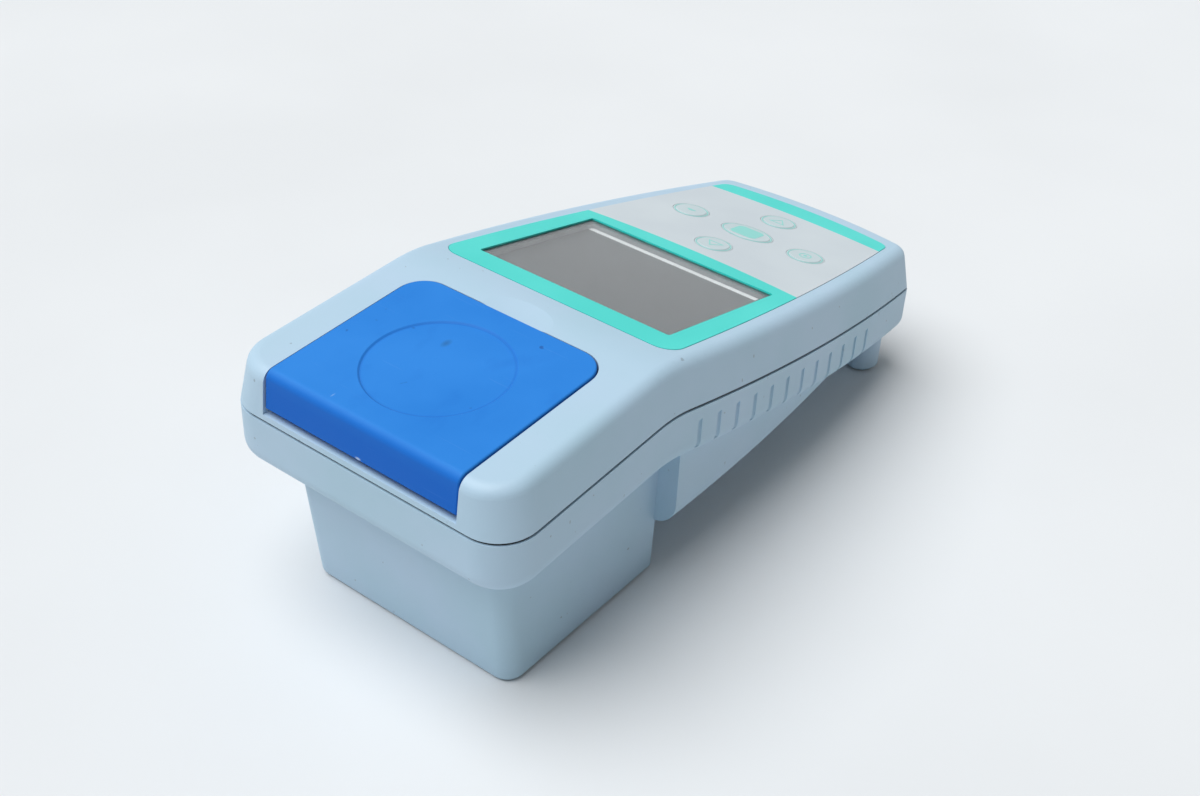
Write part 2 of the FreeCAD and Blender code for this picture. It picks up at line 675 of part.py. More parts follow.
def lower_housing():
    joint = PARTING_DEPTH + GASKET_THICK / 2
    band = fall_from_parting(envelope(0), joint, TALL).cut(under_top(PARTING_DEPTH + BAND_DEPTH))
    band = band.makeFillet(BAND_EDGE_RADIUS, surface_rim(band, PARTING_DEPTH + BAND_DEPTH))
    block = sample_block(0, FOOT_STAND)
    sole = [edge for edge in block.Edges if abs(middle(edge).z - FOOT_STAND) < 0.01]
    block = block.makeFillet(BLOCK_EDGE_RADIUS, sole)
    hull, rim = handle_hull(0, HANDLE_BOTTOM)
    hull = hull.makeFillet(HANDLE_EDGE_RADIUS, rim)
    parts = [band, hull, block]
    cores = []
    for side in (-1, 1):
        x = side * POST_X
        post = cylinder(POST_RADIUS, Vector(x, POST_Y, FOOT_STAND), HANDLE_BOTTOM + WALL - FOOT_STAND)
        sole = [edge for edge in post.Edges if abs(middle(edge).z - FOOT_STAND) < 0.01]
        parts.append(post.makeChamfer(POST_BEVEL, sole[:1]))
        core_floor = FOOT_THICK + WALL
        cores.append(cylinder(POST_RADIUS - WALL, Vector(x, POST_Y, core_floor), HANDLE_BOTTOM + WALL - core_floor + 1))
    shell = fused(parts)

    # Hollow inside
    inside = fall_from_parting(envelope(WALL), joint - 1, TALL).cut(under_top(PARTING_DEPTH + BAND_DEPTH - WALL))
    hull_inside, rim = handle_hull(WALL, HANDLE_BOTTOM + WALL)
    hull_inside = hull_inside.makeChamfer((HANDLE_EDGE_RADIUS - WALL) * 0.6, rim)
    block_inside = sample_block(WALL, FOOT_STAND + WALL)
    throat = box(
        -BLOCK_HALF_WIDTH + 2 * WALL,
        BLOCK_HALF_WIDTH - 2 * WALL,
        BLOCK_BACK - 2 * WALL,
        BLOCK_BACK + 2 * WALL,
        HANDLE_BOTTOM + 2 * WALL,
        split_height(BLOCK_BACK),
    )
    hollow = fused([inside, hull_inside, block_inside, throat] + cores)
    shell = shell.cut(hollow)

    # Posts for the case screws, with a sunk seat for each head
    solid_band = fused([band, hull])
    posts = []
    cuts = []
    for x, y in case_screw_places():
        z = split_height(y)
        post = cylinder(CASE_BOSS_RADIUS, Vector(x, y, z - TALL), TALL)
        posts.append(post.common(solid_band))
        posts.append(cylinder(CASE_BOSS_RADIUS, Vector(x, y, z - SCREW_SEAT_DEPTH), SCREW_SEAT_DEPTH))
        cuts.append(cylinder(SCREW_RADIUS + SCREW_CLEARANCE, Vector(x, y, z - TALL), TALL + 1))
        sink = z - SCREW_SEAT_DEPTH
        cuts.append(cylinder(SCREW_HEAD_RADIUS + SCREW_CLEARANCE, Vector(x, y, sink - TALL), TALL))
    # Pillars that carry the optical block
    for x, y in optic_screw_places():
        pillar = cylinder(BOSS_RADIUS, Vector(x, y, FOOT_STAND + WALL / 2), OPTIC_BOTTOM - FOOT_STAND - WALL / 2)
        posts.append(pillar)
        cuts.append(cylinder(BOARD_SCREW_RADIUS, Vector(x, y, OPTIC_BOTTOM - 6), 7))
    shell = fused([shell] + posts)

    # Battery door opening
    cuts.append(door_blank(DOOR_GAP, HANDLE_BOTTOM - 1, HANDLE_BOTTOM + WALL + 0.5))
    # Seats of the rubber feet
    for x, y, radius in foot_places():
        cuts.append(cylinder(radius, Vector(x, y, 0), FOOT_THICK))
    for cut in cuts:
        shell = shell.cut(cut)

    # Grip grooves down both sides
    for index in range(GROOVE_COUNT):
        y = BLOCK_BACK - index * GROOVE_PITCH
        top = split_height(y) - GROOVE_DROP
        reach = parting_half_width(y)
        for side in (-1, 1):
            groove = cylinder(GROOVE_RADIUS, Vector(side * reach, y, top - GROOVE_LENGTH), GROOVE_LENGTH)
            shell = shell.cut(groove)
    return shell


def parting_half_width(y):
    """Half width of the lower shell's upright wall."""
    run = max(0.0, SIDE_ARC_START - y)
    straight = HALF_WIDTH + (BEND_Z - split_height(y)) * SIDE_DRAFT
    return straight - SIDE_RADIUS + math.sqrt(SIDE_RADIUS ** 2 - run ** 2)


def foot_places():
    places = []
    for side in (-1, 1):
        x = side * (BLOCK_HALF_WIDTH - BLOCK_FOOT_INSET)
        places.append((x, BLOCK_BACK + BLOCK_FOOT_INSET, BLOCK_FOOT_RADIUS))
        places.append((x, BLOCK_FRONT - BLOCK_FOOT_INSET, BLOCK_FOOT_RADIUS))
        places.append((side * POST_X, POST_Y, POST_FOOT_RADIUS))
    return places


def rubber_feet(radius):
    pads = []
    for x, y, size in foot_places():
        if size == radius:
            pads.append(cylinder(size, Vector(x, y, 0), FOOT_THICK))
    return Part.makeCompound(pads)


def case_gasket():
    slab = under_top(PARTING_DEPTH - GASKET_THICK / 2).cut(under_top(PARTING_DEPTH + GASKET_THICK / 2))
    ring = envelope(GASKET_RECESS).common(slab)
    return ring.cut(envelope(GASKET_RECESS + GASKET_WIDTH))


def case_screws():
    screws = []
    for x, y in case_screw_places():
        seat = split_height(y) - SCREW_SEAT_DEPTH
        shank = cylinder(SCREW_RADIUS, Vector(x, y, seat), SCREW_SEAT_DEPTH + SCREW_REACH)
        head = cylinder(SCREW_HEAD_RADIUS, Vector(x, y, seat - SCREW_HEAD_THICK), SCREW_HEAD_THICK)
        slot = Part.makeBox(0.8, 4.0, 1.0, Vector(x - 0.4, y - 2, seat - SCREW_HEAD_THICK))
        cross = Part.makeBox(4.0, 0.8, 1.0, Vector(x - 2, y - 0.4, seat - SCREW_HEAD_THICK))
        screws.append(shank.fuse(head).removeSplitter().cut(slot).cut(cross))
    return Part.makeCompound(screws)


# Lid
def lid_block():
    """Outer form of the lid, rounded over at the front and along its rim."""
    block = on_lid_plane(lid_blank(0, LID_PROUD, HALF_LENGTH))
    block = block.cut(past_lid_end(LID_SET_BACK, -TALL, TALL * 2))
    roof_z = top_height(HALF_LENGTH)
    front = [edge for edge in block.Edges if middle(edge).y > BLOCK_FRONT and abs(middle(edge).x) < 1]
    block = block.makeFillet(LID_FRONT_RADIUS, [edge for edge in front if middle(edge).z > roof_z - 1])
    rim = []
    for edge in block.Edges:
        point = middle(edge)
        on_roof = abs(point.z - top_height(point.y) - LID_PROUD) < 0.1
        on_side = abs(point.x) > LID_HALF_WIDTH - 0.01
        start_y = max(vertex.Y for vertex in edge.Vertexes)
        over_front = on_side and start_y > HALF_LENGTH - LID_FRONT_RADIUS * 2
        if (on_roof and abs(point.x) > 1) or (on_roof and point.y < BLOCK_FRONT - LID_DEEP) or over_front:
            rim.append(edge)
    block = block.makeFillet(LID_EDGE_RADIUS, rim)
    return above(block, LID_BOTTOM)


def sample_lid():
    body = lid_block()
    # Bevel at the foot of the front face, which swings past the pocket floor
    front = max(vertex.Y for vertex in body.Vertexes if vertex.Z < LID_BOTTOM + 0.01)
    inner = front - LID_CHAMFER
    wedge = [
        (inner, LID_BOTTOM),
        (front + 1, LID_BOTTOM + LID_CHAMFER + 1),
        (front + 1, LID_BOTTOM - 1),
        (inner, LID_BOTTOM - 1),
    ]
    body = body.cut(prism(wedge, HALF_WIDTH * 2))

    # Hollow under the roof, with a bar left at the hinge and a ring for the seal
    hollow_end = LID_END_LENGTH - HINGE_BAR_DEPTH
    hollow = on_lid_plane(lid_blank(-LID_WALL, LID_PROUD - LID_WALL, hollow_end))
    seal_seat = seal_bottom() + SEAL_THICK
    outer = SEAL_RADIUS + SEAL_WIDTH
    hollow = hollow.cut(tube(outer, SEAL_RADIUS, Vector(0, WELL_Y, seal_seat), TALL))
    for side in (-1, 1):
        inner_x = side * (outer - 0.3)
        outer_x = side * LID_HALF_WIDTH
        rib = box(min(inner_x, outer_x), max(inner_x, outer_x), WELL_Y - 0.6, WELL_Y + 0.6, seal_seat + 2, BEND_Z + 5)
        hollow = hollow.cut(rib)
    body = body.cut(hollow)

    # Shallow round mark pressed into the roof
    lean = math.radians(LID_ANGLE)
    mark_floor = Vector(0, MARK_Y, top_height(MARK_Y) + LID_PROUD - MARK_DEPTH)
    normal = Vector(0, math.sin(lean), math.cos(lean))
    body = body.cut(Part.makeCone(MARK_RADIUS, MARK_RADIUS + 2 * MARK_BEVEL, 2 * MARK_DEPTH, mark_floor, normal))
    bore_half = LID_HALF_WIDTH + 1
    bore = cylinder(PIN_RADIUS + RUNNING_FIT, Vector(-bore_half, PIN_Y, PIN_Z), 2 * bore_half, X_AXIS)
    return body.cut(bore)


def collar_top():
    return POCKET_FLOOR + COLLAR_THICK


def seal_bottom():
    return collar_top() + SEAL_GAP


def lid_light_seal():
    outer = SEAL_RADIUS + SEAL_WIDTH
    return tube(outer, SEAL_RADIUS, Vector(0, WELL_Y, seal_bottom()), SEAL_THICK)


def lid_hinge_pin():
    half = LID_HALF_WIDTH + LID_GAP + PIN_SEAT_DEPTH
    return cylinder(PIN_RADIUS, Vector(-half, PIN_Y, PIN_Z), 2 * half, X_AXIS)


# Optics
def sample_well():
    outer = WELL_RADIUS + WELL_WALL
    body = cylinder(outer, Vector(0, WELL_Y, WELL_BOTTOM), POCKET_FLOOR - WELL_BOTTOM + 0.5)
    collar = cylinder(COLLAR_RADIUS, Vector(0, WELL_Y, POCKET_FLOOR), COLLAR_THICK)
    lip = [edge for edge in collar.Edges if abs(middle(edge).z - collar_top()) < 0.01]
    collar = collar.makeChamfer(0.4, lip[:1])
    body = fused([body, collar])
    body = body.cut(cylinder(WELL_RADIUS, Vector(0, WELL_Y, WELL_BOTTOM + WELL_FLOOR), TALL + 20))
    mouth = Part.makeCone(WELL_RADIUS, WELL_RADIUS + 0.8, 0.8, Vector(0, WELL_Y, collar_top() - 0.8))
    body = body.cut(mouth)
    beam = cylinder(BEAM_RADIUS, Vector(-outer - 1, WELL_Y, BEAM_Z), 2 * outer + 2, X_AXIS)
    side_beam = cylinder(BEAM_RADIUS, Vector(0, WELL_Y, BEAM_Z), outer + 1, Vector(0, -1, 0))
    return body.cut(beam).cut(side_beam)


def optic_screw_places():
    x = OPTIC_HALF_WIDTH - 4.0
    return [(-x, OPTIC_FRONT - 4.0), (x, OPTIC_FRONT - 4.0), (-x, OPTIC_BACK + 4.0), (x, OPTIC_BACK + 4.0)]


def optical_block():
    body = rounded_box(-OPTIC_HALF_WIDTH, OPTIC_HALF_WIDTH, OPTIC_BACK, OPTIC_FRONT, OPTIC_BOTTOM, OPTIC_TOP, 2)
    body = body.cut(cylinder(WELL_RADIUS + WELL_WALL, Vector(0, WELL_Y, 0), TALL))
    half = OPTIC_HALF_WIDTH + 1
    body = body.cut(cylinder(BEAM_RADIUS, Vector(-half, WELL_Y, BEAM_Z), 2 * half, X_AXIS))
    body = body.cut(cylinder(BEAM_RADIUS, Vector(0, WELL_Y, BEAM_Z), WELL_Y, Vector(0, -1, 0)))
    for side in (-1, 1):
        seat = detector_face(side)
        body = body.cut(cylinder(DETECTOR_RADIUS, Vector(seat, WELL_Y, BEAM_Z), TALL, Vector(side, 0, 0)))
    seat = cylinder(DETECTOR_RADIUS, Vector(0, scatter_face(), BEAM_Z), TALL, Vector(0, -1, 0))
    body = body.cut(seat)
    for x, y in optic_screw_places():
        body = body.cut(cylinder(BOARD_SCREW_RADIUS + 0.2, Vector(x, y, 0), TALL + 20))
        body = body.cut(cylinder(2.6, Vector(x, y, OPTIC_BOTTOM + 6), TALL))
    return body


def detector_face(side):
    return side * (WELL_RADIUS + WELL_WALL + 4.0)


def scatter_face():
    return WELL_Y - WELL_RADIUS - WELL_WALL - 1.2


def optical_block_screws():
    screws = []
    for x, y in optic_screw_places():
        shank = cylinder(BOARD_SCREW_RADIUS, Vector(x, y, OPTIC_BOTTOM - 5), 11)
        head = cylinder(BOARD_SCREW_HEAD_RADIUS, Vector(x, y, OPTIC_BOTTOM + 6), 1.8)
        screws.append(shank.fuse(head).removeSplitter())
    return Part.makeCompound(screws)


def can_detector(start, axis, length):
    """Round metal can with a flange and three stub leads."""
    can = cylinder(DETECTOR_RADIUS - 0.6, start, length, axis)
    flange = cylinder(DETECTOR_RADIUS, start + axis * (length - 1.0), 1.0, axis)
    return can.fuse(flange).removeSplitter()


def infrared_led():
    face = detector_face(1) + LENS_THICK + 0.5
    length = OPTIC_HALF_WIDTH - face
    tip = Part.makeSphere(DIODE_RADIUS, Vector(face + DIODE_RADIUS, WELL_Y, BEAM_Z))
    barrel = cylinder(DIODE_RADIUS, Vector(face + DIODE_RADIUS, WELL_Y, BEAM_Z), length - DIODE_RADIUS, X_AXIS)
    flange = cylinder(DETECTOR_RADIUS, Vector(OPTIC_HALF_WIDTH - 1.0, WELL_Y, BEAM_Z), 1.0, X_AXIS)
    return fused([tip, barrel, flange])


def collimating_lens():
    face = detector_face(1)
    plate = cylinder(DETECTOR_RADIUS, Vector(face, WELL_Y, BEAM_Z), LENS_THICK, X_AXIS)
    ball_radius = 3 * DETECTOR_RADIUS
    ball = Part.makeSphere(ball_radius, Vector(face + ball_radius, WELL_Y, BEAM_Z))
    return plate.common(ball)


def transmission_detector():
    face = detector_face(-1)
    return can_detector(Vector(face, WELL_Y, BEAM_Z), Vector(-1, 0, 0), OPTIC_HALF_WIDTH + face)


def scatter_detector():
    return can_detector(Vector(0, scatter_face(), BEAM_Z), Vector(0, -1, 0), scatter_face() - OPTIC_BACK)


def sensor_board(side):
    """Small upright board behind an emitter or detector; side 0 is the scatter board."""
    low = BEAM_Z - 9
    high = BEAM_Z + 11
    if side == 0:
        return box(-11, 11, OPTIC_BACK - SENSOR_BOARD_THICK, OPTIC_BACK, low, high)
    inner = side * OPTIC_HALF_WIDTH
    outer = side * (OPTIC_HALF_WIDTH + SENSOR_BOARD_THICK)
    return box(min(inner, outer), max(inner, outer), WELL_Y - 10, WELL_Y + 8, low, high)


def sensor_cable():
    """Flat flexible cable from the scatter board up to the main board."""
    half = 5.0
    thick = 0.3
    cable_y = OPTIC_BACK - SENSOR_BOARD_THICK
    top_s = BOARD_TOP_S - CABLE_INSET
    anchor = PANEL.multVec(Vector(0, top_s, -BOARD_DEPTH - BOARD_THICK))
    flat_z = anchor.z - 6.0
    radius = 3.0
    face_a = box(-half, half, cable_y - thick, cable_y, BEAM_Z + 4, flat_z - radius)
    bend_centre = Vector(-half, cable_y - thick - radius, flat_z - radius)
    bend = tube(radius + thick, radius, bend_centre, 2 * half, X_AXIS)
    quarter = box(-half, half, bend_centre.y, cable_y, flat_z - radius, flat_z + thick)
    run = box(-half, half, anchor.y + radius, bend_centre.y, flat_z, flat_z + thick)
    rise_centre = Vector(-half, anchor.y + radius, flat_z + radius + thick)
    rise = tube(radius + thick, radius, rise_centre, 2 * half, X_AXIS)
    rise_quarter = box(-half, half, anchor.y - thick, rise_centre.y, flat_z, rise_centre.z)
    tail = box(-half, half, anchor.y - thick, anchor.y, rise_centre.z, anchor.z + 4)
    above_board = on_panel(box(-60, 60, -160, 20, -BOARD_DEPTH - BOARD_THICK, 20))
    whole = fused([face_a, bend.common(quarter), run, rise.common(rise_quarter), tail])
    return whole.cut(above_board)


# Panel
def keypad_overlay():
    film = film_blank(0, -FILM_RECESS, FILM_THICK - FILM_RECESS)
    film = film.cut(window_blank(0, -1, 1))
    for name in key_places():
        film = film.cut(key_blank(name, KEY_GAP, -1, 1))
    return on_panel(film)


def display_window():
    plate = window_blank(LENS_LAP, -FILM_RECESS - LENS_PLATE_THICK, -FILM_RECESS)
    return on_panel(plate)


def display_gasket():
    """Soft frame that seals the window, with a ledge under the edge of the plate."""
    frame = window_blank(BEZEL_WALL, -DISPLAY_DEPTH, -FILM_RECESS)
    frame = frame.cut(window_blank(LENS_LAP, -FILM_RECESS - LENS_PLATE_THICK, 0))
    return on_panel(frame.cut(window_blank(-WINDOW_LEDGE, -DISPLAY_DEPTH - 1, 0)))


def glass_ends():
    return WINDOW_END_S + GLASS_END_GAP, WINDOW_TOP_S + LENS_LAP


def lcd_panel():
    low_s, high_s = glass_ends()
    half = WINDOW_HALF_WIDTH + LENS_LAP
    return on_panel(box(-half, half, low_s, high_s, -DISPLAY_DEPTH - GLASS_THICK, -DISPLAY_DEPTH))


def lcd_frame():
    low_s, high_s = glass_ends()
    half = WINDOW_HALF_WIDTH + LENS_LAP
    outer = half + FRAME_WALL
    end = WINDOW_END_S - FRAME_WALL
    body = rounded_box(-outer, outer, end, high_s + FRAME_WALL, -BOARD_DEPTH, -DISPLAY_DEPTH, 1.0)
    seat = -DISPLAY_DEPTH - GLASS_THICK
    body = body.cut(box(-half, half, low_s, high_s, seat, 0))
    light = seat - BACKLIGHT_THICK
    body = body.cut(box(-half + 2, half - 2, low_s + 2, high_s - 6, light, seat))
    body = body.cut(box(-half + 4, half - 4, low_s + 4, high_s - 8, -BOARD_DEPTH, light))
    body = body.cut(box(-half + 4, half - 4, high_s - 4.5, high_s - 1.5, -BOARD_DEPTH, seat))
    return on_panel(body)


def backlight_panel():
    low_s, high_s = glass_ends()
    half = WINDOW_HALF_WIDTH + LENS_LAP - 2
    seat = -DISPLAY_DEPTH - GLASS_THICK
    return on_panel(box(-half, half, low_s + 2, high_s - 6, seat - BACKLIGHT_THICK, seat))


def display_connector():
    high_s = glass_ends()[1]
    half = WINDOW_HALF_WIDTH + LENS_LAP - 4.3
    top = -DISPLAY_DEPTH - GLASS_THICK
    return on_panel(box(-half, half, high_s - 4.2, high_s - 1.8, -BOARD_DEPTH, top))


def key(name):
    """Raised cap that is part of the flexible panel, on its own stem."""
    x, s = key_places()[name]
    top = FILM_THICK - FILM_RECESS
    cap = key_blank(name, 0, -FILM_RECESS, top)
    crown = key_blank(name, -KEY_CROWN_MARGIN, top - 0.1, top + KEY_CROWN)
    rim = [edge for edge in crown.Edges if abs(middle(edge).z - top - KEY_CROWN) < 0.01]
    crown = crown.makeChamfer(KEY_CROWN * KEY_CROWN_BEVEL, rim[:1])
    stem_end = -BOARD_DEPTH + DOME_HEIGHT + KEY_TRAVEL + 0.1
    stem = cylinder(STEM_RADIUS, Vector(x, s, stem_end), -stem_end - FILM_RECESS)
    return on_panel(fused([cap, crown, stem]))


def key_domes():
    """Snap domes on the board, one under each key's stem."""
    domes = []
    for x, s in key_places().values():
        cap = Part.makeCone(DOME_RADIUS, DOME_CROWN_RADIUS, DOME_HEIGHT, Vector(x, s, -BOARD_DEPTH))
        domes.append(on_panel(cap))
    return Part.makeCompound(domes)


def main_board():
    blank = waisted_outline(
        -BOARD_DEPTH - BOARD_THICK,
        FILM_HALF_WIDTH - BOARD_MARGIN,
        BOARD_TOP_S,
        FILM_ARC_START_S,
        FILM_SIDE_RADIUS,
        BOARD_END_S,
        FILM_END_RADIUS,
    )
    board = Part.Face(blank).extrude(Vector(0, 0, BOARD_THICK))
    for x, s in board_screw_places():
        board = board.cut(cylinder(BOARD_SCREW_RADIUS + 0.2, Vector(x, s, -BOARD_DEPTH - 3), 6))
    return on_panel(board)


def board_screws():
    screws = []
    bottom = -BOARD_DEPTH - BOARD_THICK
    for x, s in board_screw_places():
        shank = cylinder(BOARD_SCREW_RADIUS, Vector(x, s, bottom), BOARD_THICK + BOARD_SCREW_REACH - 0.3)
        head = cylinder(BOARD_SCREW_HEAD_RADIUS, Vector(x, s, bottom - 1.5), 1.5)
        screws.append(on_panel(shank.fuse(head).removeSplitter()))
    return Part.makeCompound(screws)


def chip(x, s, width, length, height):
    """Part on the underside of the board, given by its middle and its size."""
    under = -BOARD_DEPTH - BOARD_THICK
    half = width / 2
    return rounded_box(x - half, x + half, s - length / 2, s + length / 2, under - height, under, CHIP_CORNER)


def board_components():
    """Chips, sockets and coils on the underside of the board."""
    display_s = (WINDOW_END_S + WINDOW_TOP_S) / 2
    cable_s = BOARD_TOP_S - CABLE_INSET
    chips = [
        chip(0, display_s - 5.0, 12, 12, 1.4),
        chip(13.5, display_s - 7.0, 7, 5, 1.6),
        chip(-15.5, display_s - 5.0, 5, 8, 1.6),
        chip(0, cable_s - 7.0, 14, 6, 2.6),
        chip(15, cable_s - 16.0, 6, 6, 2.8),
        chip(-16, cable_s - 17.0, 8, 4, 2.2),
        chip(-19, KEY_ROW_S + 29.0, 10, 6, 2.8),
        chip(0, KEY_ROW_S + 8.0, 8, 6, 1.5),
        chip(17, BOARD_END_S + 18.0, 6, 8, 2.4),
    ]
    return on_panel(Part.makeCompound(chips))


def buzzer():
    under = -BOARD_DEPTH - BOARD_THICK
    place = Vector(KEY_STEP_X, KEY_ROW_S + BUZZER_LEAD, under)
    body = cylinder(BUZZER_RADIUS, place - Z_AXIS * BUZZER_HEIGHT, BUZZER_HEIGHT)
    return on_panel(body.cut(cylinder(BUZZER_PORT, place - Z_AXIS * (BUZZER_HEIGHT + 1), 2)))


# Battery bay
def door_blank(grow, z0, z1):
    return rounded_box(
        -DOOR_HALF_WIDTH - grow,
        DOOR_HALF_WIDTH + grow,
        DOOR_END_Y - grow,
        DOOR_TOP_Y + grow,
        z0,
        z1,
        DOOR_CORNER + grow,
    )


def hook_places():
    return [-CELL_PITCH, CELL_PITCH]


def battery_door():
    plate = door_blank(0, HANDLE_BOTTOM, HANDLE_BOTTOM + DOOR_THICK)
    pieces = [plate]
    inner = HANDLE_BOTTOM + DOOR_THICK
    lift = HANDLE_BOTTOM + WALL + 0.2
    for x in hook_places():
        neck = box(
            x - HOOK_WIDTH / 2, x + HOOK_WIDTH / 2,
            DOOR_END_Y + 0.2, DOOR_END_Y + 1.6,
            inner - 0.5, lift + HOOK_THICK,
        )
        tip = box(
            x - HOOK_WIDTH / 2, x + HOOK_WIDTH / 2,
            DOOR_END_Y - HOOK_REACH, DOOR_END_Y + 1.6,
            lift, lift + HOOK_THICK,
        )
        pieces.append(neck)
        pieces.append(tip)
    door = fused(pieces)
    # Grip ridges and a thumb notch at the end that lifts
    for index in range(4):
        y = DOOR_TOP_Y - 9 - index * 2.4
        door = door.cut(cylinder(0.7, Vector(-8, y, HANDLE_BOTTOM - 0.25), 16, X_AXIS))
    notch = Part.makeSphere(14, Vector(0, DOOR_TOP_Y + 1, HANDLE_BOTTOM - 12.9))
    return door.cut(notch)


def cell_places():
    first = -CELL_PITCH * (CELL_COUNT - 1) / 2
    return [first + index * CELL_PITCH for index in range(CELL_COUNT)]


def cell_axis_z():
    return HANDLE_BOTTOM + DOOR_THICK + 0.8 + CELL_RADIUS


def cell_start():
    return DOOR_END_Y + CONTACT_THICK + SPRING_LENGTH - 1.0


def batteries():
    cells = []
    for index, x in enumerate(cell_places()):
        flip = -1 if index % 2 else 1
        start_y = cell_start() if flip > 0 else cell_start() + CELL_LENGTH
        axis = Vector(0, flip, 0)
        start = Vector(x, start_y, cell_axis_z())
        body_length = CELL_LENGTH - CELL_NUB
        can = cylinder(CELL_RADIUS, start, body_length, axis)
        nub = cylinder(CELL_NUB_RADIUS, start + axis * body_length, CELL_NUB, axis)
        cells.append(can.fuse(nub).removeSplitter())
    return Part.makeCompound(cells)


def bay_ends():
    """Inner faces of the tray at the key end and at the lid end."""
    return cell_start() - SPRING_LENGTH - CONTACT_THICK, cell_start() + CELL_LENGTH + CONTACT_THICK + SPRING_LENGTH


def battery_tray():
    low_y, high_y = bay_ends()
    half = DOOR_HALF_WIDTH + DOOR_GAP
    floor = HANDLE_BOTTOM + WALL
    top = cell_axis_z() + CELL_RADIUS + TRAY_HEAD
    outer = box(-half - TRAY_WALL, half + TRAY_WALL, low_y - TRAY_WALL, high_y + TRAY_WALL, floor, top + TRAY_WALL)
    tray = outer.cut(box(-half, half, low_y, high_y, floor - 1, top))
    for x in hook_places():
        slot = box(x - HOOK_WIDTH, x + HOOK_WIDTH, low_y - TRAY_WALL - 1, low_y + 1, floor - 1, floor + 3.6)
        tray = tray.cut(slot)
    # Saddle ribs between the cells
    for x in cell_places()[:-1]:
        rib_x = x + CELL_PITCH / 2
        rib = box(rib_x - 0.3, rib_x + 0.3, low_y + 8, high_y - 8, cell_axis_z() + 2.5, top + 0.2)
        tray = tray.fuse(rib)
    return tray.removeSplitter()


def contact_sides():
    """Sign of each cell's spring end: minus is the key end."""
    return [(x, -1 if index % 2 == 0 else 1) for index, x in enumerate(cell_places())]


def battery_springs():
    """Coned contact springs, as turned rings that touch each other."""
    low_y, high_y = bay_ends()
    springs = []
    for x, side in contact_sides():
        start_y = low_y + CONTACT_THICK if side < 0 else high_y - CONTACT_THICK
        step = SPRING_LENGTH / SPRING_COILS
        points = [Vector(0, 0, 0)]
        for coil in range(SPRING_COILS):
            radius = SPRING_RADIUS - coil * SPRING_TAPER
            points.append(Vector(radius, coil * step, 0))
            points.append(Vector(radius - SPRING_TAPER * 1.6, (coil + 0.8) * step, 0))
        points.append(Vector(0, SPRING_LENGTH, 0))
        points.append(Vector(0, 0, 0))
        face = Part.Face(Part.makePolygon(points))
        spring = face.revolve(Vector(0, 0, 0), Y_AXIS, 360)
        if side > 0:
            spring = spring.mirror(Vector(0, 0, 0), Y_AXIS)
        spring.translate(Vector(x, start_y, cell_axis_z()))
        springs.append(spring)
    return Part.makeCompound(springs)


def battery_plates():
    low_y, high_y = bay_ends()
    half = CELL_PITCH / 2 - HOOK_WIDTH / 2 - 0.3
    plates = []
    low = cell_axis_z() - 4.4
    high = cell_axis_z() + 4.4
    for x in cell_places():
        plates.append(box(x - half, x + half, low_y, low_y + CONTACT_THICK, low, high))
        plates.append(box(x - half, x + half, high_y - CONTACT_THICK, high_y, low, high))
    for x, side in contact_sides():
        # Pressed dimple that meets the cell's positive end
        start_y = high_y - CONTACT_THICK if side < 0 else low_y + CONTACT_THICK
        length = SPRING_LENGTH
        axis = Vector(0, side, 0)
        dimple = Part.makeCone(2.6, 1.4, length, Vector(x, start_y, cell_axis_z()), axis)
        plates.append(dimple)
    return Part.makeCompound(plates)


def export(name, shape):
    shape.exportStep("parts/" + name + ".step")


def build():
    export("upper_housing", upper_housing())
    export("lower_housing", lower_housing())
    export("case_gasket", case_gasket())
    export("case_screws", case_screws())
    export("sample_lid", sample_lid())
    export("lid_hinge_pin", lid_hinge_pin())
    export("lid_light_seal", lid_light_seal())
    export("sample_well", sample_well())
    export("optical_block", optical_block())
    export("optical_block_screws", optical_block_screws())
    export("infrared_led", infrared_led())
    export("collimating_lens", collimating_lens())
    export("transmission_detector", transmission_detector())
    export("scatter_detector", scatter_detector())
    export("emitter_board", sensor_board(1))
    export("transmission_board", sensor_board(-1))
    export("scatter_board", sensor_board(0))
    export("sensor_cable", sensor_cable())
    export("keypad_overlay", keypad_overlay())
    export("display_window", display_window())
    export("display_gasket", display_gasket())
    export("lcd_panel", lcd_panel())
    export("lcd_frame", lcd_frame())
    export("backlight_panel", backlight_panel())
    export("display_connector", display_connector())
    for name in key_places():
        export(name, key(name))
    export("key_domes", key_domes())
    export("main_board", main_board())
    export("board_screws", board_screws())
    export("board_components", board_components())
    export("buzzer", buzzer())
    export("battery_door", battery_door())
    export("battery_tray", battery_tray())
    export("batteries", batteries())
    export("battery_springs", battery_springs())
    export("battery_plates", battery_plates())
    export("block_feet", rubber_feet(BLOCK_FOOT_RADIUS))
    export("handle_feet", rubber_feet(POST_FOOT_RADIUS))


build()
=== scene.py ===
# %% [markdown]
# # A hand-held turbidity meter
# The meter is a two-part plastic case with a lid over its sample well, a printed panel, a display
# and five keys. Its real shapes come packed from CAD, so this lesson adds only looks: what each
# surface is made of, what is printed on it, and the small things that repeat. Everything is in
# metres, in the same frame as the CAD: X is the width, +Y points to the lid, Z is up.

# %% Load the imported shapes
import json
import math

import bpy
from mathutils import Matrix, Vector


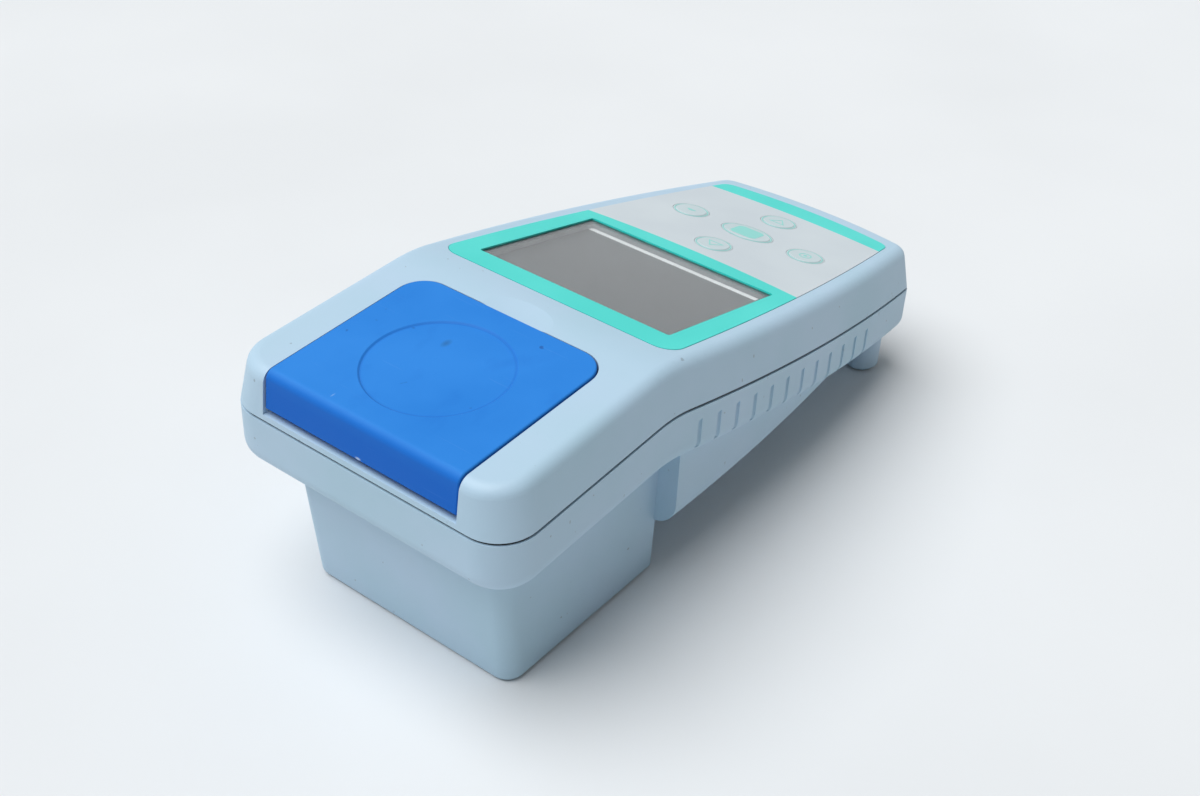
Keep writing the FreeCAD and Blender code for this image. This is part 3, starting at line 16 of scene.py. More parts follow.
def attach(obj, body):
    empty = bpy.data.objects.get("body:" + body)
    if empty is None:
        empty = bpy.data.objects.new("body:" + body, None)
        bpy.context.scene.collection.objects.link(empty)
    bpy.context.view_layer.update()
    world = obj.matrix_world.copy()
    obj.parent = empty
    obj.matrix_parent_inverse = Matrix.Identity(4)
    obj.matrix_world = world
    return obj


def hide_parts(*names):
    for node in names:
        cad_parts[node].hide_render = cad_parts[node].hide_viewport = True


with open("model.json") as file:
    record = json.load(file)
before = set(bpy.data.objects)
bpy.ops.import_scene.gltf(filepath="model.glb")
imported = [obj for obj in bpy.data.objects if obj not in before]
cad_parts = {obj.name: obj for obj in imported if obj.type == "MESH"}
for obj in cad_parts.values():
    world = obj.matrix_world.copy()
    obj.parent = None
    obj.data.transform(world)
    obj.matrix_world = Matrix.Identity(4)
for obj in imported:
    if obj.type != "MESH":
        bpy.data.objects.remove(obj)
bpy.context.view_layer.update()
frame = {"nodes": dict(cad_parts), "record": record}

nodes = frame["nodes"]

# %% [markdown]
# ## Sizes shared with the panel
# The keypad slopes down towards the user and the lid slopes the other way; both slopes start at a
# bend in the case top. Prints have to lie on the keypad's slope, so the bend and the angle are
# written once here, and one matrix carries flat drawings onto the sloping panel.

# %% Panel plane
MM = 0.001
BEND = Vector((0, 41.3 * MM, 75 * MM))
KEYPAD_ANGLE = math.radians(13)
PANEL = Matrix.Translation(BEND) @ Matrix.Rotation(KEYPAD_ANGLE, 4, "X")
# Places on the panel in mm: across it, and along it from the bend
KEY_ROW = -102.0
KEY_ASIDE = 20.3
KEY_AHEAD = 18.6
KEYS = {
    "power": (-KEY_ASIDE, KEY_ROW),
    "menu": (KEY_ASIDE, KEY_ROW),
    "up": (0, KEY_ROW + KEY_AHEAD),
    "down": (0, KEY_ROW - KEY_AHEAD),
    "read": (0, KEY_ROW),
}
print("keys on the panel:", sorted(KEYS))

# %% [markdown]
# ## Two small helpers for materials
# Colours on a screen are sRGB, but a renderer mixes light in linear values, so each hex colour is
# turned to linear once. The second helper adds one node to a tree, sets its options and fills its
# inputs; an input may be a number or the output of another node, and it is given by its label or,
# where labels repeat, by its number. Every finish and every geometry tree below is built with it.

# %% Colour and node helpers
def linear(hex_colour):
    channels = [int(hex_colour[i : i + 2], 16) / 255 for i in (1, 3, 5)]
    spread = [c / 12.92 if c <= 0.04045 else ((c + 0.055) / 1.055) ** 2.4 for c in channels]
    return (*spread, 1.0)


def add(tree, kind, inputs=None, **settings):
    node = tree.nodes.new(kind)
    for name, value in settings.items():
        setattr(node, name, value)
    for key, value in (inputs or {}).items():
        if isinstance(value, bpy.types.NodeSocket):
            tree.links.new(value, node.inputs[key])
        else:
            node.inputs[key].default_value = value
    return node


print("white is", linear("#ffffff")[0])

# %% [markdown]
# ## What a finish is made of
# Every finish here has the same parts: patches where something changes, a colour painted over the
# one below, a roughness that follows a mask, and a grain that catches the light. Image textures
# could do this too, but noise on Object coordinates has no seams and keeps its real scale, so each
# size is given in millimetres of the real surface.

# %% Start, patches and paint
def finish(name):
    material = bpy.data.materials.new(name)
    material.use_nodes = True
    tree = material.node_tree
    place = add(tree, "ShaderNodeTexCoord").outputs["Object"]
    return material, tree, tree.nodes["Principled BSDF"], place


def patches(tree, place, size_mm, low, high, most=1.0, detail=3.0, stretch=(1, 1, 1)):
    spread = add(tree, "ShaderNodeMapping", {"Vector": place, "Scale": stretch})
    pattern = {"Vector": spread.outputs[0], "Scale": 1000 / size_mm, "Detail": detail}
    noise = add(tree, "ShaderNodeTexNoise", pattern).outputs["Fac"]
    rise = {"Value": noise, "From Min": low, "From Max": high, "To Max": most}
    return add(tree, "ShaderNodeMapRange", rise).outputs["Result"]


def paint(tree, shader, mask, above):
    here = shader.inputs["Base Color"]
    below = here.links[0].from_socket if here.is_linked else tuple(here.default_value)
    layers = add(tree, "ShaderNodeMix", {0: mask, 6: below, 7: above}, data_type="RGBA")
    tree.links.new(layers.outputs[2], here)


print("colour parts ready")


# %% Roughness and grain
def roughen(tree, shader, mask, smooth, rough):
    spread = add(tree, "ShaderNodeMapRange", {"Value": mask, "To Min": smooth, "To Max": rough})
    tree.links.new(spread.outputs["Result"], shader.inputs["Roughness"])


def grain(tree, shader, place, size_mm, depth_mm):
    pattern = {"Vector": place, "Scale": 1000 / size_mm, "Detail": 1.0}
    noise = add(tree, "ShaderNodeTexNoise", pattern).outputs["Fac"]
    bump = add(tree, "ShaderNodeBump", {"Height": noise, "Distance": depth_mm * MM, "Strength": 1.0})
    tree.links.new(bump.outputs["Normal"], shader.inputs["Normal"])


print("surface parts ready")

# %% [markdown]
# ## Moulded plastic
# Most of the meter is moulded ABS. The mould is spark eroded, which leaves a fine, even grain that
# softens highlights, and handling leaves faint cloudy patches. A noise of a few tenths of a
# millimetre gives the grain through a bump, and a much larger noise shifts colour and roughness a
# little. Grain finer than a pixel is drawn a little coarser so that it still shows.

# %% Moulded finish
PLASTIC_IOR = 1.53


def moulded(name, light, dark, roughness, grain_mm=0.5, depth_mm=0.012, cloud_mm=35, dirt=None):
    material, tree, shader, place = finish(name)
    shader.inputs["Base Color"].default_value = linear(light)
    cloud = patches(tree, place, cloud_mm, 0.35, 0.65)
    paint(tree, shader, cloud, linear(dark))
    if dirt:
        specks = patches(tree, place, 2.2, 0.765, 0.80, 0.6, detail=1)
        paint(tree, shader, specks, linear(dirt))
    roughen(tree, shader, cloud, roughness - 0.03, roughness + 0.05)
    grain(tree, shader, place, grain_mm, depth_mm)
    shader.inputs["IOR"].default_value = PLASTIC_IOR
    return material


materials = {
    # ABS from a spark-eroded mould: pale grey-blue, matt and even, with a few specks of dirt
    "housing_plastic": moulded("pale_blue_abs", "#b2cce1", "#accadc", 0.5, dirt="#7f8d98"),
    # ABS, liner and battery tray: nearly black, satin
    "black_plastic": moulded("black_abs", "#1c1e20", "#232629", 0.42),
    # ABS filled with white pigment, the frame round the display: bright, satin
    "white_plastic": moulded("white_abs", "#fbfcfc", "#f6f8f8", 0.45),
    # Milky acrylic light panel: soft, slightly glossy white
    "diffuser": moulded("milky_acrylic", "#eaeeee", "#e2e6e6", 0.3, depth_mm=0.004),
    # Epoxy moulded round a chip: dark grey, dull, with a fine grain
    "chip_epoxy": moulded("chip_epoxy", "#1d1f22", "#26292c", 0.55, grain_mm=0.25),
}
print("moulded finishes:", sorted(materials))

# %% [markdown]
# ## The lid
# The lid is a stronger blue than the case, and matt. Its front wall is painted a deeper blue than
# the top, as painted shade on that wall. Use has left a dark smudge, a pale nick at the front edge,
# a few specks and faint hair scratches. A darker line in the step round the raised mark is painted
# shade in that groove. The painted front shade is a mask on the Y coordinate, because only that
# wall lies so far forward, and each single mark is a distance from one point. The scratches are a
# noise stretched along one direction and cut to its thinnest peaks; modelling each one would be
# waste.

# %% Marks round a point
MARK_CENTRE = (0, 76.2, 0)
MARK_RADIUS = 18.4


def away_from(tree, place, centre_mm, stretch):
    shift = [-c * MM * k for c, k in zip(centre_mm, stretch)]
    local = add(tree, "ShaderNodeMapping", {"Vector": place, "Location": shift, "Scale": stretch})
    length = add(tree, "ShaderNodeVectorMath", {0: local.outputs[0]}, operation="LENGTH")
    return length.outputs["Value"]


def fading(tree, away, inner_mm, outer_mm, most):
    span = {"Value": away, "From Min": inner_mm * MM, "From Max": outer_mm * MM}
    return add(tree, "ShaderNodeMapRange", {**span, "To Min": most, "To Max": 0}).outputs["Result"]


# Painted shade: a darker line in the step round the raised mark, where the groove lies in shade
def groove_shade_ring(tree, place):
    away = away_from(tree, place, MARK_CENTRE, (1, 1, 0))
    inside = add(tree, "ShaderNodeMath", {0: away, 1: MARK_RADIUS * MM}, operation="SUBTRACT")
    off_ring = add(tree, "ShaderNodeMath", {0: inside.outputs[0]}, operation="ABSOLUTE")
    return fading(tree, off_ring.outputs[0], 0.15, 0.55, 0.4)


print("round mark:", MARK_RADIUS, "mm in radius")


# %% Lid finish
# Y span in mm over which the painted shade on the lid's front wall fades in
FRONT_SHADE_SPAN = (101.2, 103.2)


def lid_finish():
    material, tree, shader, place = finish("blue_lid_abs")
    shader.inputs["Base Color"].default_value = linear("#2a83db")
    cloud = patches(tree, place, 28, 0.35, 0.65)
    paint(tree, shader, cloud, linear("#247dd5"))
    # Painted shade: the front wall is painted a deeper blue than the top
    y = add(tree, "ShaderNodeSeparateXYZ", {0: place}).outputs["Y"]
    edge = {"Value": y, "From Min": FRONT_SHADE_SPAN[0] * MM, "From Max": FRONT_SHADE_SPAN[1] * MM}
    painted_front_shade = add(tree, "ShaderNodeMapRange", edge).outputs["Result"]
    paint(tree, shader, painted_front_shade, linear("#0562c4"))
    specks = patches(tree, place, 3.5, 0.76, 0.80, 0.7, detail=1)
    paint(tree, shader, specks, linear("#1d4f97"))
    smears = patches(tree, place, 7, 0.60, 0.78, 0.22, detail=4, stretch=(1, 0.5, 1))
    paint(tree, shader, smears, linear("#0a62c0"))
    smudge = away_from(tree, place, (5.3, 67.6, 74.4), (1, 0.6, 1))
    paint(tree, shader, fading(tree, smudge, 0.3, 1.3, 0.55), linear("#21527f"))
    # Painted shade in the groove round the raised mark
    paint(tree, shader, groove_shade_ring(tree, place), linear("#1a66bd"))
    hairs = patches(tree, place, 0.8, 0.73, 0.77, 0.06, detail=1, stretch=(0.04, 1.3, 1))
    paint(tree, shader, hairs, linear("#7fb6f2"))
    nick = away_from(tree, place, (-0.3, 103.7, 63.2), (0.7, 1, 1.6))
    paint(tree, shader, fading(tree, nick, 0.25, 0.75, 0.7), linear("#c6d9ec"))
    scuff = away_from(tree, place, (11.5, 99.3, 73.1), (1, 0.3, 1))
    paint(tree, shader, fading(tree, scuff, 0.05, 0.3, 0.4), linear("#9cc6f2"))
    roughen(tree, shader, cloud, 0.56, 0.64)
    grain(tree, shader, place, 0.4, 0.006)
    shader.inputs["IOR"].default_value = PLASTIC_IOR
    shader.inputs["Specular IOR Level"].default_value = 0.2
    return material


materials["lid_plastic"] = lid_finish()
print("nodes in the lid finish:", len(materials["lid_plastic"].node_tree.nodes))

# %% [markdown]
# ## The printed film
# The panel is one polyester film printed from behind: teal round the display, light grey under the
# keys and a teal strip at the user's end. The two colour borders bow gently, so a straight cut
# would look wrong. Each border is a parabola, y = a + b x squared, worked out in the material
# from Object coordinates, which stays sharp at any zoom.

# %% Border between two inks
# In mm: Y where the border crosses the middle, its rise at the film's edge, and X of that edge
STRIP_BORDER = (-86.7, 2.0, 30.5)
DISPLAY_BORDER = (-29.7, 2.3, 35.5)
BLUR = 0.05


def border(tree, axes, curve_mm):
    middle, rise, edge_x = [value * MM for value in curve_mm]
    square = add(tree, "ShaderNodeMath", {0: axes["X"], 1: axes["X"]}, operation="MULTIPLY")
    parabola = {0: square.outputs[0], 1: rise / edge_x**2, 2: middle}
    bow = add(tree, "ShaderNodeMath", parabola, operation="MULTIPLY_ADD").outputs[0]
    past = add(tree, "ShaderNodeMath", {0: axes["Y"], 1: bow}, operation="SUBTRACT").outputs[0]
    edge = {"Value": past, "From Min": -BLUR * MM, "From Max": BLUR * MM}
    return add(tree, "ShaderNodeMapRange", edge).outputs["Result"]


print("borders blur over", 2 * BLUR, "mm")


# %% Film finish
def film_finish():
    material, tree, shader, place = finish("printed_film")
    axes = add(tree, "ShaderNodeSeparateXYZ", {0: place}).outputs
    cloud = patches(tree, place, 30, 0.35, 0.65, detail=2)
    teals = {0: cloud, 6: linear("#30d8cf"), 7: linear("#2ad1c8")}
    teal = add(tree, "ShaderNodeMix", teals, data_type="RGBA").outputs[2]
    greys = {0: cloud, 6: linear("#c9d3d9"), 7: linear("#c3cdd4")}
    grey = add(tree, "ShaderNodeMix", greys, data_type="RGBA").outputs[2]
    tree.links.new(teal, shader.inputs["Base Color"])
    paint(tree, shader, border(tree, axes, STRIP_BORDER), grey)
    paint(tree, shader, border(tree, axes, DISPLAY_BORDER), teal)
    roughen(tree, shader, cloud, 0.38, 0.44)
    grain(tree, shader, place, 0.3, 0.003)
    shader.inputs["IOR"].default_value = 1.57
    return material


# Polyester film printed from behind: smooth, satin, with colours a little under the surface
materials["film_print"] = film_finish()
# Silicone rubber, the keys: pale grey-green, soft sheen
materials["key_rubber"] = moulded("silicone_key", "#c4d2d7", "#becdd2", 0.5, 0.4, 0.004)
print("film and keys ready")

# %% [markdown]
# ## Display
# Switched off, the display is dark itself, because its polariser swallows most of the light. It
# looks mid grey in the photo because the window over it mirrors the pale room. The window is real
# transmission with the refraction of acrylic, so the depth between window and glass shows at the
# edges. The polariser has an anti-glare film, which is why its own reflection is turned down.

# %% Display finishes
def clear_finish(name, tint, ior, roughness):
    material, tree, shader, place = finish(name)
    haze = patches(tree, place, 12, 0.3, 0.7)
    roughen(tree, shader, haze, roughness * 0.6, roughness * 1.6)
    shader.inputs["Base Color"].default_value = linear(tint)
    shader.inputs["Transmission Weight"].default_value = 1.0
    shader.inputs["IOR"].default_value = ior
    return material


# Clear cast acrylic: glass-like, with faint wiping haze
materials["window_acrylic"] = clear_finish("window_acrylic", "#fafcfc", 1.49, 0.03)
# Polished glass: the same, but harder and brighter
materials["lens_glass"] = clear_finish("lens_glass", "#f2f6f6", 1.52, 0.01)
# Polariser film on the display glass: dark grey, even
lcd = moulded("lcd_polariser", "#2f3437", "#2b3033", 0.3, 0.3, 0.001, 60)
lcd.node_tree.nodes["Principled BSDF"].inputs["Specular IOR Level"].default_value = 0.2
materials["lcd_glass"] = lcd
print("display finishes ready")

# %% [markdown]
# ## Rubber, metal and electronics
# The remaining finishes are mostly inside, but they show when the lid or the battery door is open.
# Rubber is dark and rough. Sheet metal is drawn through rolls, so its fine scratches run one way,
# which a stretched noise in the roughness gives. The board is green solder mask over woven glass.

# %% Rolled metal
def rolled_metal(name, colour, roughness, stretch):
    material, tree, shader, place = finish(name)
    plain_metal = linear(colour)
    shader.inputs["Base Color"].default_value = plain_metal
    tone = patches(tree, place, 6, 0.3, 0.7, detail=2)
    bright = [min(1.0, c * 1.08) for c in plain_metal[:3]]
    paint(tree, shader, tone, (*bright, 1))
    lines = patches(tree, place, 0.3, 0.3, 0.7, detail=2, stretch=stretch)
    roughen(tree, shader, lines, roughness - 0.08, roughness + 0.1)
    shader.inputs["Metallic"].default_value = 1.0
    return material


# Zinc-plated steel, screws and pins: grey, fine lines along their length
materials["steel"] = rolled_metal("zinc_plated_steel", "#b9bcbf", 0.34, (1, 1, 0.1))
# Nickel-plated steel, springs and plates: warmer and brighter
materials["spring_steel"] = rolled_metal("nickel_plated_steel", "#c9c7c0", 0.24, (0.1, 1, 1))
# Drawn steel cans, the cells: bright, lines along the cell
materials["can_steel"] = rolled_metal("plain_metal_can", "#b0b3b6", 0.3, (1, 0.1, 1))
print("finishes with the metals:", len(materials))


# %% Circuit board
# Real threads lie about 0.6 mm apart; these are four times as coarse, so that they show
WEAVE = 2.4
WAVE_LINES = 20 / (2 * math.pi)


def board_finish():
    material, tree, shader, place = finish("glass_fibre_board")
    shader.inputs["Base Color"].default_value = linear("#1a6a3a")
    traces = patches(tree, place, 4, 0.5, 0.52, detail=0, stretch=(1, 0.15, 1))
    paint(tree, shader, traces, linear("#237a46"))
    # At scale 1 a wave texture shows WAVE_LINES lines in a metre
    cloth = {"Vector": place, "Scale": 1000 / WEAVE / WAVE_LINES, "Distortion": 1.0}
    weave = add(tree, "ShaderNodeTexWave", cloth).outputs["Fac"]
    bump = add(tree, "ShaderNodeBump", {"Height": weave, "Distance": 0.004 * MM, "Strength": 1.0})
    tree.links.new(bump.outputs["Normal"], shader.inputs["Normal"])
    shader.inputs["Roughness"].default_value = 0.3
    return material


# Glass fibre under green solder mask: glossy, with paler traces and a faint weave
materials["board_laminate"] = board_finish()
print("board weave:", WEAVE, "mm")

# %% Rubbers, films and resins
# Moulded rubber, gaskets and feet: black and dull
materials["dark_rubber"] = moulded("black_rubber", "#17191b", "#1f2123", 0.7, 0.6, 0.01)
# Grey rubber, the gasket round the display: dull, a little paler when handled
materials["grey_rubber"] = moulded("grey_rubber", "#7d8386", "#777d80", 0.6, 0.6, 0.01)
# Closed-cell foam, the seal in the lid: black, open pores, no shine
materials["foam_rubber"] = moulded("closed_cell_foam", "#1e2022", "#292b2d", 0.85, 0.35, 0.05)
# Polyimide film, the flat cable: amber and glossy
materials["flex_film"] = moulded("amber_polyimide", "#b9772c", "#c28334", 0.3, 0.8, 0.003)
# Cast epoxy that passes infrared, emitter and detectors: dark blue, shiny
materials["led_resin"] = moulded("tinted_led_resin", "#2a3560", "#33406e", 0.15, 0.8, 0.001)
# Printed shrink sleeve of a cell: dark grey, glossy
materials["cell_wrap"] = moulded("cell_wrap", "#2b3036", "#343a41", 0.3, 0.5, 0.002)
print("all finishes:", len(materials))

# %% [markdown]
# ## Give each CAD piece its finish
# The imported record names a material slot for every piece. Walking through that list keeps looks and
# record in step, and a missing finish would stop the script here rather than leave a grey part.
# Two pieces get a plainer finish than their slot names: the display's gasket is grey rubber, not
# dark, and the cells are bare cans here because their printed sleeves are added further down.

# %% Apply finishes
PLAINER_SLOTS = {"display_gasket": "grey_rubber", "batteries": "can_steel"}
for part in frame["record"]["subparts"]:
    piece = nodes[part["node"]]
    piece.data.materials.clear()
    slot = PLAINER_SLOTS.get(part["node"], part["material_slot"])
    piece.data.materials.append(materials[slot])

# %% [markdown]
# ## Key rings
# Each key has a thin printed ring near its edge. A ring is the same thing five times in two sizes,
# so one Geometry Nodes tree makes it: a circle curve, swept with a small rectangle. Its inputs are
# the two half sizes, the line width and the ink thickness, so the oval centre key uses the
# same tree. The result is turned into a plain mesh, because exported files hold no node trees.

# %% Opening and closing a tree
def open_tree(name, inputs, output):
    tree = bpy.data.node_groups.new(name, "GeometryNodeTree")
    for label, kind in inputs.items():
        tree.interface.new_socket(label, in_out="INPUT", socket_type="NodeSocket" + kind)
    tree.interface.new_socket(output, in_out="OUTPUT", socket_type="NodeSocketGeometry")
    return tree, tree.nodes.new("NodeGroupInput").outputs


def close_tree(tree, geometry, material):
    real = add(tree, "GeometryNodeRealizeInstances", {"Geometry": geometry}).outputs["Geometry"]
    dressed = add(tree, "GeometryNodeSetMaterial", {"Geometry": real, "Material": material})
    add(tree, "NodeGroupOutput", {0: dressed.outputs["Geometry"]})


print("tree helpers ready")


# %% Ring tree
def ring_tree():
    inputs = {
        "Half Length": "Float",
        "Half Width": "Float",
        "Line Width": "Float",
        "Ink Thickness": "Float",
        "Ink": "Material",
    }
    tree, given = open_tree("printed_ring", inputs, "Ring")
    circle = add(tree, "GeometryNodeCurvePrimitiveCircle", {"Resolution": 72, "Radius": 1.0})
    sides = {"X": given["Half Length"], "Y": given["Half Width"], "Z": 1.0}
    stretch = add(tree, "ShaderNodeCombineXYZ", sides).outputs[0]
    stretched = {"Geometry": circle.outputs["Curve"], "Scale": stretch}
    oval = add(tree, "GeometryNodeTransform", stretched).outputs["Geometry"]
    band = {"Width": given["Line Width"], "Height": given["Ink Thickness"]}
    section = add(tree, "GeometryNodeCurvePrimitiveQuadrilateral", band).outputs["Curve"]
    sweep = add(tree, "GeometryNodeCurveToMesh", {"Curve": oval, "Profile Curve": section})
    close_tree(tree, sweep.outputs["Mesh"], given["Ink"])
    return tree


rings = ring_tree()
print("nodes in the ring tree:", len(rings.nodes))


# %% From a tree to a plain mesh
def grown(name, tree, values, place):
    holder = bpy.data.objects.new(name + "_holder", bpy.data.meshes.new(name + "_holder"))
    bpy.context.scene.collection.objects.link(holder)
    modifier = holder.modifiers.new("grow", "NODES")
    modifier.node_group = tree
    for item in tree.interface.items_tree:
        if item.in_out == "INPUT" and item.name in values:
            modifier[item.identifier] = values[item.name]
    bpy.context.view_layer.update()
    ready = holder.evaluated_get(bpy.context.evaluated_depsgraph_get())
    mesh = bpy.data.meshes.new_from_object(ready)
    bpy.data.objects.remove(holder)
    mesh.transform(place)
    mesh.name = name
    piece = bpy.data.objects.new(name, mesh)
    bpy.context.scene.collection.objects.link(piece)
    return piece


print("ready to grow meshes from trees")

# %% Rings
# Screen-printed ink: pale teal, satin, very thin
INK = moulded("teal_ink", "#84cdc7", "#8bd3cd", 0.45, 0.4, 0.001)
# Height of a key's low rim over the panel plane, and half sizes of the rings, in mm
RIM_TOP = 0.12
ROUND_RING = (5.1, 5.1)
OVAL_RING = (7.9, 5.5)
for key, (x, along) in KEYS.items():
    half_length, half_width = OVAL_RING if key == "read" else ROUND_RING
    place = PANEL @ Matrix.Translation(Vector((x, along, RIM_TOP)) * MM)
    sizes = {
        "Half Length": half_length * MM,
        "Half Width": half_width * MM,
        "Line Width": 0.35 * MM,
        "Ink Thickness": 0.05 * MM,
        "Ink": INK,
    }
    ring = grown(key + "_key_ring", rings, sizes, place)
    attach(ring, key + "_button")
print("rings:", len(KEYS))

# %% [markdown]
# ## Key symbols
# Inside the rings are small symbols: a dot in a circle for power, triangles for up and down, a
# short mark for the menu and a filled patch for the centre key. Each is drawn as flat outlines on
# the panel and then lifted onto the flat top of its key. Solidify gives the ink a thickness, so
# the symbols are closed solids like every other piece.

# %% Outlines
def circle_points(radius, count=40):
    angles = [2 * math.pi * i / count for i in range(count)]
    return [(radius * math.cos(a), radius * math.sin(a)) for a in angles]


def triangle(size, up):
    sign = 1 if up else -1
    corners = [(-size, -sign * size * 0.6), (size, -sign * size * 0.6), (0, sign * size * 0.9)]
    if not up:
        corners.reverse()
    points = []
    for i in range(3):
        start, end = Vector(corners[i]), Vector(corners[(i + 1) % 3])
        points += [tuple(start.lerp(end, step / 6)) for step in range(6)]
    return points


print("points of a triangle:", len(triangle(2.3, True)))


# %% From outline to faces
def outline(points, width):
    count = len(points)
    outer, inner = [], []
    for i, point in enumerate(points):
        here = Vector(point)
        first = (here - Vector(points[i - 1])).normalized()
        second = (Vector(points[(i + 1) % count]) - here).normalized()
        normal = Vector((first.y + second.y, -first.x - second.x)).normalized()
        scale = width / 2 / max(0.3, normal.dot(Vector((first.y, -first.x))))
        outer.append(here + normal * scale)
        inner.append(here - normal * scale)
    faces = [[i, (i + 1) % count, count + (i + 1) % count, count + i] for i in range(count)]
    return outer + inner, faces


def filled(points):
    count = len(points)
    return [(0, 0)] + points, [[0, i + 1, (i + 1) % count + 1] for i in range(count)]


print("faces of a filled triangle:", len(filled(triangle(2.3, True))[1]))

# %% Symbols
# Height of a key's flat top over the panel plane, thickness of the ink and width of a line, in mm
KEY_TOP = 0.3
INK_HEIGHT = 0.03
LINE = 0.4


def printed(key, shapes):
    x0, along0 = KEYS[key]
    vertices, faces = [], []
    for points, shape_faces in shapes:
        start = len(vertices)
        for x, along in points:
            flat = Vector((x0 + x, along0 + along, KEY_TOP + INK_HEIGHT / 2))
            vertices.append(PANEL @ (flat * MM))
        faces += [[start + i for i in face] for face in shape_faces]
    mesh = bpy.data.meshes.new(key + "_symbol")
    mesh.from_pydata(vertices, [], faces)
    mesh.materials.append(INK)
    piece = bpy.data.objects.new(key + "_symbol", mesh)
    bpy.context.scene.collection.objects.link(piece)
    thick = piece.modifiers.new("ink", "SOLIDIFY")
    thick.thickness = INK_HEIGHT * MM
    thick.offset = 0
    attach(piece, key + "_button")


printed("power", [outline(circle_points(1.7), LINE), filled(circle_points(0.6, 20))])
printed("up", [outline(triangle(2.3, True), LINE)])
printed("down", [outline(triangle(2.3, False), LINE)])
printed("menu", [filled([(-1.4, -0.5), (1.4, -0.5), (1.4, 0.1), (0.2, 0.9), (-1.4, 0.1)])])
half_patch = [(4.4, -2.6), (4.4, 2.6), (3.2, 3.7), (-3.2, 3.7)]
printed("read", [filled(half_patch + [(-x, -along) for x, along in half_patch])])
print("symbols:", len(KEYS))

# %% [markdown]
# ## Battery contacts and cells
# Under the door lie four AAA cells side by side, each turned the other way round from the last.
# Every cell is a steel can in a printed sleeve, and every spring is one wire wound into a cone, so
# that its coils fall inside each other when it is pressed flat. A spiral curve swept with a
# round wire is just how the real spring is made. The row repeats by a rule, so one tree holds it:
# a line of points, every second one moved to the far end of the bay and turned by half a turn.

# %% Battery bay
# Sizes in mm: the cells lie along Y and repeat along X
CELLS = 4
CELL_PITCH = 11.2
CELL_AXIS = 26.09
FIRST_CELL = -(CELLS - 1) / 2 * CELL_PITCH
BAY_START = -62.6
BAY_END = -9.7
print("bay length:", round(BAY_END - BAY_START, 1), "mm for", CELLS, "cells")


# %% One wound spring
def wound_spring(tree, given):
    cone = {
        "Resolution": 28,
        "Rotations": given["Turns"],
        "Start Radius": given["Wide Radius"],
        "End Radius": given["Narrow Radius"],
        "Height": given["Length"],
    }
    coil = add(tree, "GeometryNodeCurveSpiral", cone).outputs["Curve"]
    round_wire = {"Resolution": 10, "Radius": given["Wire Radius"]}
    wire = add(tree, "GeometryNodeCurvePrimitiveCircle", round_wire).outputs["Curve"]
    sweep = {"Curve": coil, "Profile Curve": wire, "Fill Caps": True}
    wound = add(tree, "GeometryNodeCurveToMesh", sweep).outputs["Mesh"]
    lying = {"Geometry": wound, "Rotation": (-math.pi / 2, 0, 0)}
    return add(tree, "GeometryNodeTransform", lying).outputs["Geometry"]


print("one spring is a swept spiral, laid along the cell")


# %% Spring tree
def spring_tree():
    lengths = ("Pitch", "Bay Length", "Wide Radius", "Narrow Radius", "Length", "Wire Radius")
    inputs = {"Count": "Int", "Turns": "Float", "Metal": "Material"}
    inputs.update({label: "Float" for label in lengths})
    tree, given = open_tree("contact_springs", inputs, "Springs")
    step = add(tree, "ShaderNodeCombineXYZ", {"X": given["Pitch"]}).outputs[0]
    row = add(tree, "GeometryNodeMeshLine", {"Count": given["Count"], "Offset": step})
    index = add(tree, "GeometryNodeInputIndex").outputs[0]
    odd = add(tree, "ShaderNodeMath", {0: index, 1: 2}, operation="MODULO").outputs[0]
    far = add(tree, "ShaderNodeMath", {0: odd, 1: given["Bay Length"]}, operation="MULTIPLY")
    shift = add(tree, "ShaderNodeCombineXYZ", {"Y": far.outputs[0]}).outputs[0]
    moved = {"Geometry": row.outputs["Mesh"], "Offset": shift}
    ends = add(tree, "GeometryNodeSetPosition", moved).outputs["Geometry"]
    half_turn = add(tree, "ShaderNodeMath", {0: odd, 1: math.pi}, operation="MULTIPLY")
    turn = add(tree, "ShaderNodeCombineXYZ", {"Z": half_turn.outputs[0]}).outputs[0]
    copies = {"Points": ends, "Instance": wound_spring(tree, given), "Rotation": turn}
    placed = add(tree, "GeometryNodeInstanceOnPoints", copies)
    close_tree(tree, placed.outputs["Instances"], given["Metal"])
    return tree


contact_springs = spring_tree()
print("nodes in the spring tree:", len(contact_springs.nodes))

# %% Springs
WIRE = 0.4
sizes = {
    "Count": CELLS,
    "Pitch": CELL_PITCH * MM,
    "Bay Length": (BAY_END - BAY_START - 2 * WIRE) * MM,
    "Wide Radius": 3.4 * MM,
    "Narrow Radius": 1.9 * MM,
    "Length": 3.4 * MM,
    "Turns": 3.5,
    "Wire Radius": WIRE * MM,
    "Metal": materials["spring_steel"],
}
first_spring = Vector((FIRST_CELL, BAY_START + WIRE, CELL_AXIS)) * MM
springs = grown("wound_springs", contact_springs, sizes, Matrix.Translation(first_spring))
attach(springs, "base")
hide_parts("battery_springs")
print("spring faces:", len(springs.data.polygons))

# %% [markdown]
# ## Sleeves round the cells
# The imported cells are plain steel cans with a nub. The printed sleeve leaves a narrow rim of
# bright steel at both ends, so it is the ring tree again with a long, thin section.

# %% Cell sleeves
CELL_MIDDLE = (BAY_START + BAY_END) / 2
# The nub at one end moves the middle of the can half a millimetre the other way
CAN_SHIFT = 0.5
